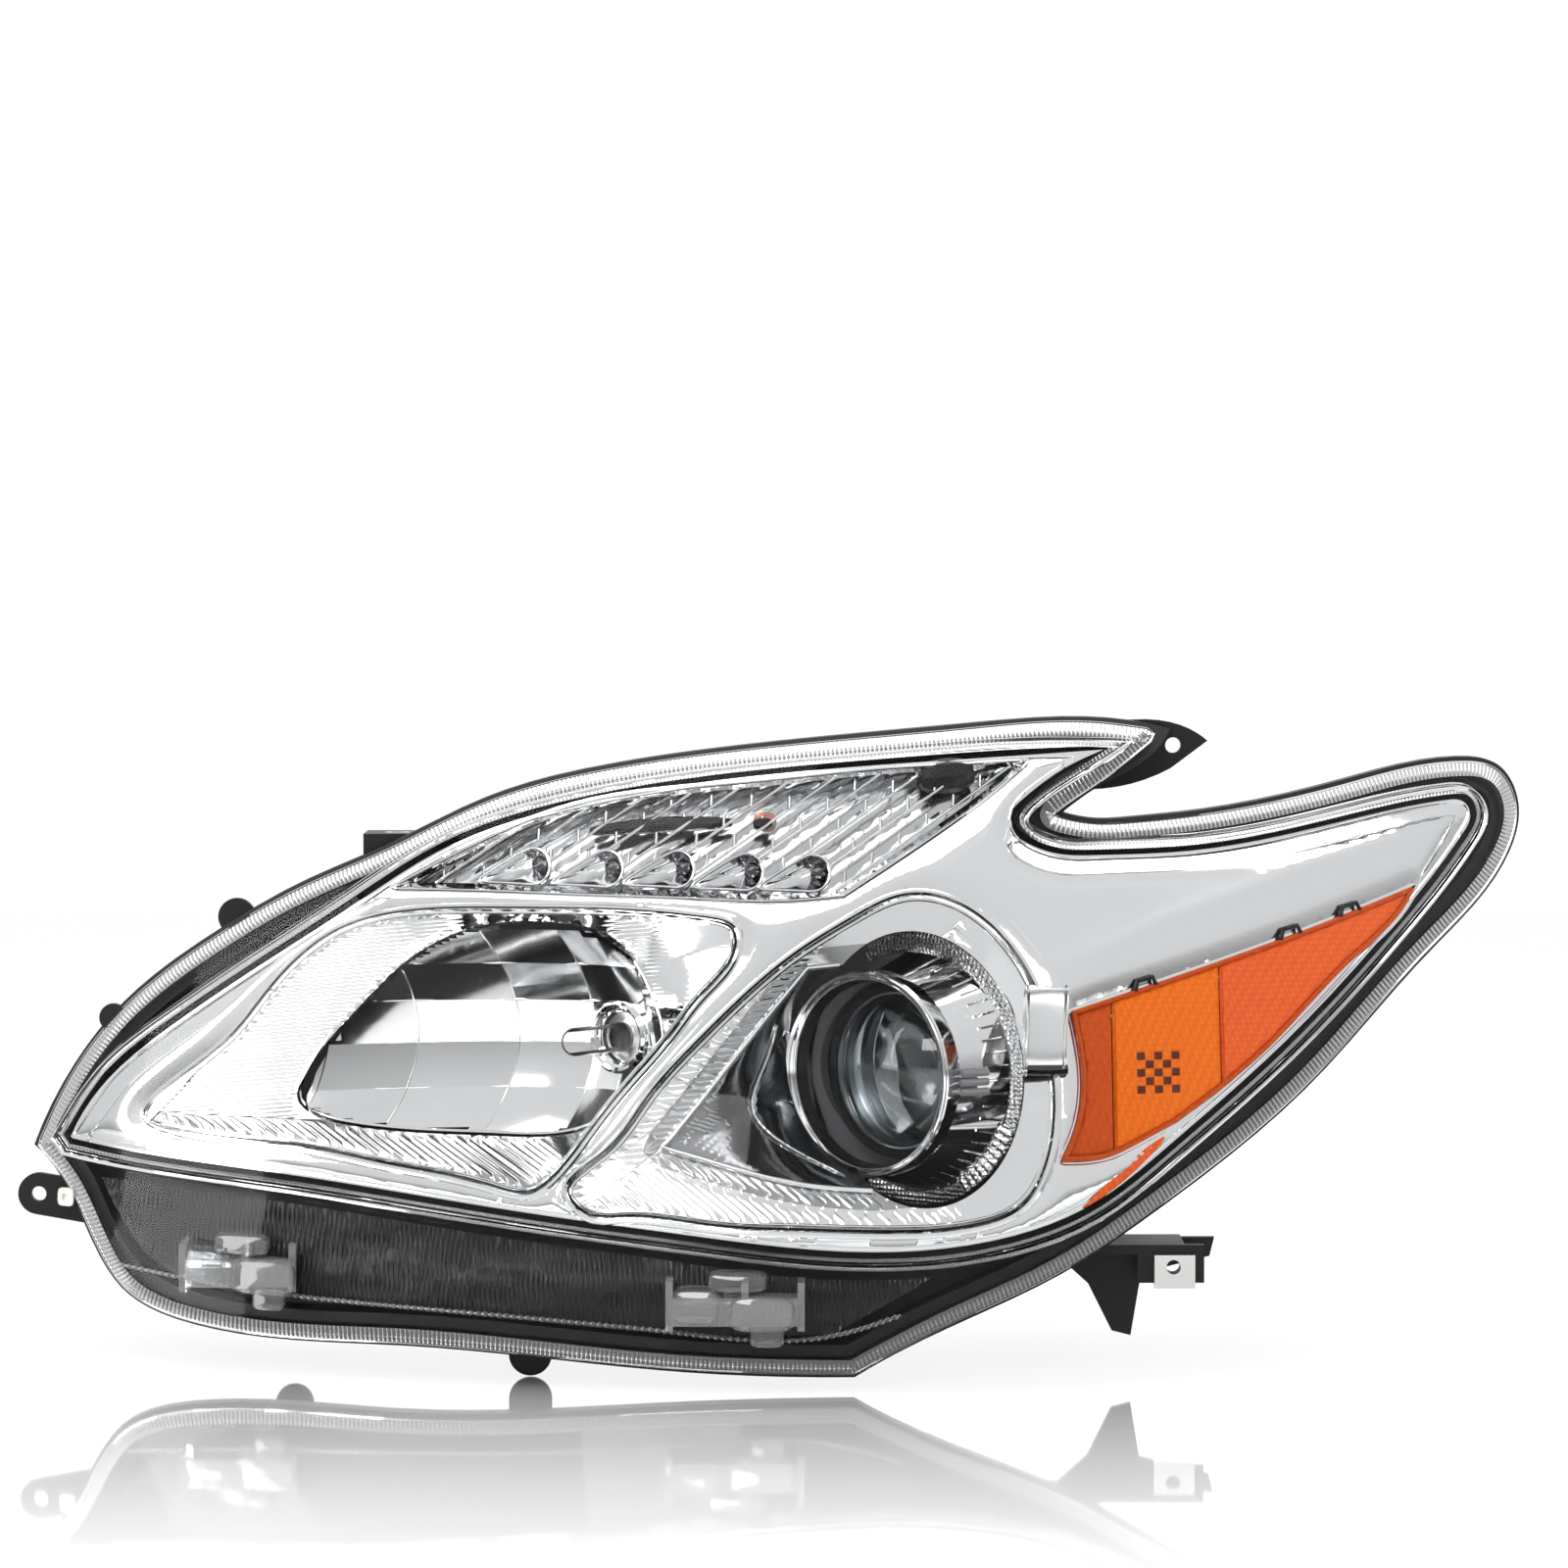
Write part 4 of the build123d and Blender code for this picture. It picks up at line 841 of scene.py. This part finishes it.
def make_bowl_grid(edge):
    """The fine raised lines between the facets, and the line round the bowl."""
    u = np.linspace(BOWL_CELLS_UP[0], BOWL_CELLS_UP[-1], 90)
    lines = [(a + CELL_BEND * (u - 4) ** 2 * np.sign(a), u) for a in BOWL_CELLS_ACROSS[1:-1]]
    a = np.linspace(BOWL_CELLS_ACROSS[0], BOWL_CELLS_ACROSS[-1], 150)
    lines += [(a, np.full(len(a), float(height))) for height in BOWL_CELLS_UP[1:-1]]
    runs = []
    for a, u in lines:
        flat = beam_point(HIGH_BEAM, a, u, (a * a + u * u) / (4 * HIGH_FOCUS) + 0.55)
        deep = flat[:, 1] - lens_y(flat[:, 0], flat[:, 2])
        shown = np.column_stack([flat[:, 0], flat[:, 2] + OPENING_LIFT * (deep - BOWL_OPENING)])
        good = inside(shown, edge) & (np.hypot(a, u) > 17) & (deep > BOWL_DEEP + 0.2)
        for block in np.split(np.arange(len(a)), np.flatnonzero(np.diff(good.astype(int))) + 1):
            if good[block[0]] and len(block) > 3:
                runs.append(flat[block])
    tube("bowl_grid", runs, 0.42, "bright_line", body="carrier", closed=False, sides=6)
    line_on("bowl_rim_line", moved(trace(BOWL_EDGE), -0.6), 28.2, 0.9, body="carrier")


# ---- projector ----
TICKS, LID_POINTS, BARREL_X, BARREL_WIDE = 22, 60, 100.0, 18.0
CARRIER_PLANE = 107.5      # nothing of the drum shows behind this


def seen_circle(radius, ahead, count=160):
    """The opening in the pocket that shows a circle square to the low beam."""
    x, y, z = beam_ring(LOW_BEAM, radius, np.linspace(0, 2 * math.pi, count, endpoint=False), ahead).T
    return np.column_stack([x, z + OPENING_LIFT * (y - lens_y(x, z, POCKET_OPENING))])


def make_projector():
    triangle = trace(PJ_TRIANGLE)
    ring, halo = seen_circle(44.0, -1.0), seen_circle(57.7, -34.0)
    make_pocket(moved(trace(LOW_OPENING), -2.8), triangle, [ring, halo])
    inner = moved(triangle, -0.5)

    def floor(x, z):
        near, _, share = between(x, z, inner, ring)
        rib = 0.35 * np.sin(2 * math.pi * (z * 0.8 - x * 0.6) / 3.1) * np.clip(near / 3, 0, 1)
        return 20.6 + 38.0 * share ** 1.3 + rib * np.clip((-15 - z) / 10, 0, 1)

    # The pocket floor is drawn in a darker copy of the chrome: painted shade in the recess.
    field("pocket_floor", inner, [ring, halo], (1.6, 1.2), floor, "painted_shade_dark_trim")
    free = triangle[~(inside(triangle, ring) | inside(triangle, halo))]
    tear = int(np.argmax(np.linalg.norm(free - np.roll(free, 1, 0), axis=1)))
    line_on("triangle_rib", np.roll(free, -tear, 0), 18.4, 1.1, "bright_line", closed=False)
    make_eyelid(floor)
    lathe("ring_front_line", LOW_BEAM, round_profile(42.6, 0.1, 0.9), "bright_trim")
    lathe("ring_inner_line", LOW_BEAM, round_profile(40.2, -1.6, 0.7), "bright_trim")
    lathe("ring_throat", LOW_BEAM, [(39.3, -2.4), (38.9, -5.0), (38.5, -8.5)], "black_trim")
    holder = [(33.2, -21.3), (34.5, -20.9), (37.2, -21.2), (37.4, -24.5)]
    lathe("holder_face", LOW_BEAM, holder, "black_trim", body="carrier")
    make_drum_details()
    make_marker_barrel()


def make_pocket(outer, triangle, openings):
    """The band round the projector, bright by its frame and, by the fin, a darker copy of the chrome that is
    painted shade, with two sets of ribs.
    """
    collar = moved(triangle, 8.0)
    corner, point = np.array([-84.0, -69.0]), np.array([-50.0, -44.0])
    run = point - corner

    def band_shape(lean, fade):
        def shape(x, z):
            near, far, share = between(x, z, outer, triangle)
            free = fade(x) * np.clip(near / 1.5, 0, 1) * np.clip(far / 2.0, 0, 1)
            return 15.4 + 5.0 * share + free * ribs(x, z, lean, 2.3, 0.42)
        return shape

    sides = [("left", (-run[1], run[0]), 7.0, lambda x: np.clip((14 - x) / 12, 0, 1)),
             ("low", (run[1], -run[0]), -38.0, lambda x: np.clip((84 - x) / 14, 0, 1))]
    for side, way, lean, fade in sides:
        # The foot ring by the fin is drawn in a darker copy of the chrome: painted shade.
        rings = [("pocket_ribs_", outer, [collar] + openings, "bright_trim"),
                 ("pocket_foot_", collar, [triangle] + openings, "painted_shade_grey_trim")]
        for name, loop, holes, material in rings:
            made = field(name + side, cut(loop, point, way), holes, (5.0, 0.42), band_shape(lean, fade),
                         material, lean=lean)
            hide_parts("low_beam_pocket")


def round_profile(radius, ahead, thick, count=10):
    a = np.linspace(-0.2 * math.pi, 1.2 * math.pi, count)
    return [(radius + thick * math.cos(t), ahead + thick * math.sin(t)) for t in a]


def make_drum_details():
    """Ticks round the drum's foot, the textured halo with its fan, and the drum's small pins."""
    profile = [(51.2, -37.2), (51.2, -33.2), (54.5, -32.8), (57.6, -33.6), (58.3, -35.2), (58.3, -38.2)]
    made = lathe("halo_texture", LOW_BEAM, profile, "halo_dots", sides=160)
    cut_behind(made)
    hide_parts("halo_ring")
    r = np.array([47.6, 49.0, 51.4])
    turns = [math.radians(-74 + 6.6 * k) for k in range(TICKS)]
    ticks = [beam_point(LOW_BEAM, r * math.cos(a), r * math.sin(a), (-21.5, -25.2, -31.6)) for a in turns]
    tube("drum_ticks", ticks, 0.55, "bright_trim", closed=False, sides=6)
    a = np.radians(np.linspace(-62, -24, 60))
    ripple = 0.5 * np.sin(a * 95)
    rows = [beam_point(LOW_BEAM, r * np.cos(a), r * np.sin(a), -30.6 + ripple - 0.16 * (r - 47))
            for r in np.linspace(47.5, 57.5, 7)]
    loft("halo_fan", rows, "halo_dots", closed=False)
    pins = [beam_point(LOW_BEAM, (46.5, 49.5, 51.0), np.full(3, height), (-6.0, -12.0, -18.0))
            for height in (-5.0, -1.0, 3.0)]
    tube("drum_pins", pins, 1.6, "grey_plastic", closed=False)


def cut_behind(made):
    """Drops the faces of a piece that would lie behind the carrier's plane."""
    work = bmesh.new()
    work.from_mesh(made.data)
    hidden = [face for face in work.faces if draw_of(face.calc_center_median())[1] > CARRIER_PLANE]
    bmesh.ops.delete(work, geom=hidden, context="FACES")
    work.to_mesh(made.data)
    work.free()


def make_eyelid(floor):
    """The crescent fin that rises from the pocket's floor to the inner side of the projector's ring."""
    inner = beam_ring(LOW_BEAM, 43.9, np.radians(np.linspace(160, 258, LID_POINTS)), -0.8)
    line = resample(cubic([(-3, 4), (-8, -12), (-13, -30), (0, -44), (25, -57)], 0.5), count=LID_POINTS,
                    closed=False)
    outer = on_lens(line, floor(line[:, 0], line[:, 1]) - 1.5)
    rows = [outer + (inner - outer) * s + np.array([0, -3.0 * math.sin(math.pi * s), 0])
            for s in np.linspace(0, 1, 9)]
    loft("ring_eyelid", rows, "bright_trim", closed=False)
    tube("ring_eyelid_line", outer, 0.6, "bright_line", closed=False)


def make_marker_barrel():
    """The round chrome barrel between the projector's frame and the amber reflector, with a painted shadow
    along its lower edge.
    """
    z = np.linspace(-15, 21, 36)
    rise = np.sqrt(np.clip(1 - ((z - 3.0) / 18.2) ** 2, 0, 1))

    def hoop(s, base, height):
        return on_lens(np.column_stack([BARREL_X + BARREL_WIDE * s + 0.05 * z, z]), base - height * rise)

    rows = [hoop(s, 13.6, 9.0 - 0.9 * math.sin(math.pi * s)) for s in np.linspace(0, 1, 10)]
    loft("marker_barrel", rows, "satin_trim", closed=False)
    for name, s in (("marker_barrel_rib_a", 0.06), ("marker_barrel_rib_b", 0.94)):
        tube(name, hoop(s, 13.2, 9.1), 0.6, "bright_line", closed=False)
    # A near-black bead along the barrel's lower edge: painted shadow under the barrel.
    foot = [(100.5, -12.5), (106.0, -12.9), (112.0, -13.0), (117.5, -12.8)]
    line_on("marker_barrel_painted_shadow", foot, 10.6, 2.6, "painted_shade_bead", closed=False)


# ---- turn signal compartment ----
LEAN, RIB_PITCH, FACET_TALL, FACET_WIDE = 34.0, 9.6, 6.4, 17.0
POD_PLACES = np.array([(-108, 68), (-77, 67.5), (-47, 67.5), (-18, 66.5), (10, 66)])
POD_HEART = np.array([4.5, 1.8])
POD_ROWS = ((1.12, 14.0, 0.0), (1.06, 11.8, 0.0), (0.98, 11.6, 0.0), (0.90, 12.6, 0.0), (0.74, 14.6, 0.03),
            (0.52, 16.4, 0.08), (0.30, 17.4, 0.10), (0.08, 17.8, 0.0))
BEAD_ROWS = ((3.3, 17.0), (3.1, 14.2), (2.1, 12.8), (0.1, 12.3))


def line_runs(loop, spacing):
    """Leaning straight lines, cut to an outline, as lists of points."""
    way = np.array([math.cos(math.radians(LEAN)), math.sin(math.radians(LEAN))])
    off = np.array([-way[1], way[0]])
    runs = []
    for k in np.arange(-200, 200, spacing):
        line = loop.mean(0) + off * k + np.outer(np.arange(-220, 220, 1.0), way)
        good = inside(line, loop)
        for block in np.split(np.arange(len(line)), np.flatnonzero(np.diff(good.astype(int))) + 1):
            if good[block[0]] and len(block) > 3:
                runs.append(line[block])
    return runs


def make_turn_cell():
    """Staggered facets at the back in a darker copy of the chrome, a painted shade; leaning ribs and steps on
    the inner lens drawn as bright metal, painted highlights; and black strips on it that are painted shadow.
    """
    loop = trace(TURN_OPENING)

    def facets(x, z):
        along, across = turned(x, z, LEAN)
        row = across / FACET_TALL
        column = along / FACET_WIDE + 0.5 * np.floor(row)
        return 28.2 - 0.5 * np.abs(np.sin(math.pi * row)) - 0.5 * np.abs(np.sin(math.pi * column))

    # The facets are drawn in a darker copy of the chrome: painted shade deep in the compartment.
    made = field("turn_facets", moved(loop, -1.2), [], (1.7, 0.8), facets, "painted_shade_mid_trim", lean=LEAN, sharp=25.0)
    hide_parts("turn_reflector")
    inner = moved(loop, -1.6)
    runs = line_runs(inner, RIB_PITCH)
    # The clear inner lens's ribs and steps are drawn as bright metal beads: painted highlights along them.
    made = tube("turn_lens_ribs", [on_lens(run, 17.6) for run in runs], 0.6, "bright_line", closed=False,
                sides=6, slot="clear_inner")
    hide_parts("turn_inner_lens")
    stairs = [place + np.array([(0, -0.5), (0.1, 2.2), (0.2, 5.0)]) for run in runs for place in run[4::14]]
    steps = [on_lens(stair, 18.6) for stair in stairs if inside(stair, inner).all()]
    tube("turn_steps", steps, 0.7, "bright_line", closed=False, sides=6)
    # Black strips and blots laid on the inner lens where there is only shadow: painted shadow.
    painted_shadows = [("turn_painted_shadow_bar", [(-82, 83), (-52, 86), (-22, 87)], 1.0, 20.5, 3.4, 0.12, 0.35),
              ("turn_painted_shadow_block", [(58, 105), (69, 106), (80, 107)], 1.0, 20.5, 7.6, 0.25, 0.3),
              ("turn_painted_shadow_spot", [(-13, 86), (-9, 86.5), (-5, 87)], 0.7, 19.5, 2.6, 0.3, 0.4)]
    for name, points, step, depth, radius, blunt, power in painted_shadows:
        line = cubic(points, step)
        swell = radius * np.sin(np.linspace(blunt, math.pi - blunt, len(line))) ** power
        line_on(name, line, depth, swell, "black_trim", closed=False)


def teardrop(count=56, radius=7.0):
    """A drop with its point at the lower left, about 28 by 14, centred on its bead."""
    t = np.linspace(0, 2 * math.pi, count, endpoint=False)
    tail = np.clip(-np.cos(t), 0, 1) ** 2.2
    return np.column_stack([radius * np.cos(t) - 14.0 * tail + 2.0,
                            radius * np.sin(t) * (1 - 0.45 * tail) - 5.5 * tail + 1.0])


def make_pods():
    """Five small cups along the foot of the turn signal, each with a bead at its outer end."""
    drop = teardrop()
    around = 2 * math.pi * np.arange(len(drop)) / len(drop)
    circle = np.column_stack([np.cos(around), np.sin(around)])
    cups, beads = [], []
    for place in POD_PLACES:
        rows = []
        for scale, depth, fold in POD_ROWS:
            flat = drop * (scale * (1 + fold * np.cos(8 * around)))[:, None]
            rows.append(on_lens(flat + (1 - scale) * POD_HEART + place, depth))
        cups.append(rows)
        beads.append([on_lens(circle * radius + POD_HEART + place, depth) for radius, depth in BEAD_ROWS])
    made = stacks("pod_cups", cups, "bright_trim")
    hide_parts("accent_cups")
    # The beads are drawn in a near-black copy of the chrome: painted shade.
    stacks("pod_beads", beads, "painted_shade_bead")
    tube("pod_lines", [rows[1] for rows in cups], 0.75, "bright_line")


# ---- amber reflector ----
GEM_SIZE, GEM_PITCH, GEM_CORNER = (3.5, 3.2), (3.7, 3.4), (147.5, -24.0)
HOOK = np.array([(-4.5, -3.4), (-3.5, 0.6), (3.0, 2.2), (4.4, -1.2)])


def make_amber():
    side = moved(trace(AMBER_OPENING, 1.2), -0.8)
    # The strip beside the barrel is a darker copy of the amber: painted shadow of the barrel.
    parts = [("amber_strip", 112, 137, "amber_painted_shade", 13.4), ("amber_left", 137.4, 183.6, "amber_gold", 12.7),
             ("amber_right", 184.0, 276, "amber_red", 12.7)]
    made = []
    for name, low, high, material, depth in parts:
        loop = cut(cut(side, (low, 0), (1, 0)), (high, 0), (-1, 0))

        def dished(x, z, depth=depth, loop=loop):
            rise = np.clip(nearest(np.column_stack([x, z]), loop) / 2.2, 0, 1)
            ribs = 0.35 * np.sin(x * 1.9 + z * 0.4) if depth > 13 else 0.0
            return depth + 1.6 - 1.6 * rise ** 0.5 + ribs

        made.append(field(name, loop, [], (1.6, 1.6), dished, material))
    tail = moved(trace(AMBER_TAIL, 1.0), 0.3)
    made.append(field("amber_tail", tail, [], (1.5, 1.5), lambda x, z: 12.8, "amber_red"))
    for part in made:
        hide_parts("amber_reflector")
    make_gems()
    hooks = [on_lens(HOOK + place, 11.4) for place in ((152, 21), (216, 40), (243, 48.5))]
    tube("amber_clips", hooks, 1.1, "black_trim", closed=False)


def make_gems():
    """Small dark pyramids set like a checkerboard in the amber reflector."""
    base = np.array([(0, 0), (1, 0), (1, 1), (0, 1), (0.5, 0.5)]) * GEM_SIZE
    points, faces = [], []
    for i in range(5):
        for j in range(i % 2, 5, 2):
            k = len(points)
            corner = np.array(GEM_CORNER) + np.multiply(GEM_PITCH, (i, j))
            points += on_lens(base + corner, np.array([12.6, 12.6, 12.6, 12.6, 11.4])).tolist()
            faces += [(k, k + 1, k + 4), (k + 1, k + 2, k + 4), (k + 2, k + 3, k + 4), (k + 3, k, k + 4)]
    piece("amber_checker", points, faces, "amber_black", sharp=10)


# ---- outside details ----
CLIP_CENTRES = ((-229, -98), (-20, -106))
CLIP_BLOCKS = ((-16, 0, 9.5, 6.5, 5.0), (11, -3, 13.5, 7.0, 3.5), (13, -13, 7.0, 4.5, 12.0),
               (1, 9, 12.0, 4.0, 10.0))
SIDE_CLIP = ((3.6, 24.5), (3.8, 21.2), (3.2, 20.4), (1.6, 20.2), (1.2, 21.6), (0.1, 21.8))


def make_housing_ribs():
    """Stiffening ribs on the housing's rear wall."""
    paths = []
    for x in (-205, -178, 62, 130, 168, 200):
        z = np.linspace(-38, 52 if x < 0 else 66, 24)
        y = 122.0 + x * x / 1150.0 + 0.18 * (z + 80) + 0.0003 * (z + 80) ** 2 + 0.4
        paths.append(np.column_stack([np.full(len(z), float(x)), y, z]))
    tube("housing_ribs", paths, 1.5, "black_housing", closed=False)


def rounded_square(count=48):
    """A square of half width one with well rounded corners."""
    a = np.linspace(0, 2 * math.pi, count, endpoint=False)
    return np.column_stack([np.sign(np.cos(a)) * np.abs(np.cos(a)) ** 0.5,
                            np.sign(np.sin(a)) * np.abs(np.sin(a)) ** 0.5])


def make_clip_blocks():
    """Rounded clear blocks that fill out the two bumper clips: place, half width, half height, front."""
    groups = []
    for centre in CLIP_CENTRES:
        for across, up, wide, tall, front in CLIP_BLOCKS:
            place = np.add(centre, (across, up))
            profile = ((1.0, 21.8), (1.0, front + 2.0), (0.92, front + 0.5), (0.6, front), (0.02, front))
            groups.append([on_lens(rounded_square() * (wide * scale, tall * scale) + place, depth)
                           for scale, depth in profile])
    stacks("clip_blocks", groups, "clear_thick")


def make_side_clip():
    """The pale clip that holds the lens at its inner end."""
    square = rounded_square()
    rows = [on_lens(square * size + (-309.0, -76.0), depth) for size, depth in SIDE_CLIP]
    loft("side_clip", rows, "nylon")


def dress_cad_nodes():
    for entry in frame["record"]["subparts"]:
        node = NODES[entry["node"]]
        node.data.materials.clear()
        thick = entry["node"].startswith("lens_bracket")
        node.data.materials.append(MATERIALS["clear_thick" if thick else entry["material_slot"]])


bpy.context.scene.view_settings.view_transform = "Standard"
make_camera()
make_stage()
make_lights()
make_materials()
dress_cad_nodes()
make_rims()
make_skirt()
make_frame_lines()
make_lips()
make_bezel_skin()
make_high_surround()
make_bowl()
make_projector()
make_turn_cell()
make_pods()
make_amber()
make_housing_ribs()
make_side_clip()
make_clip_blocks()
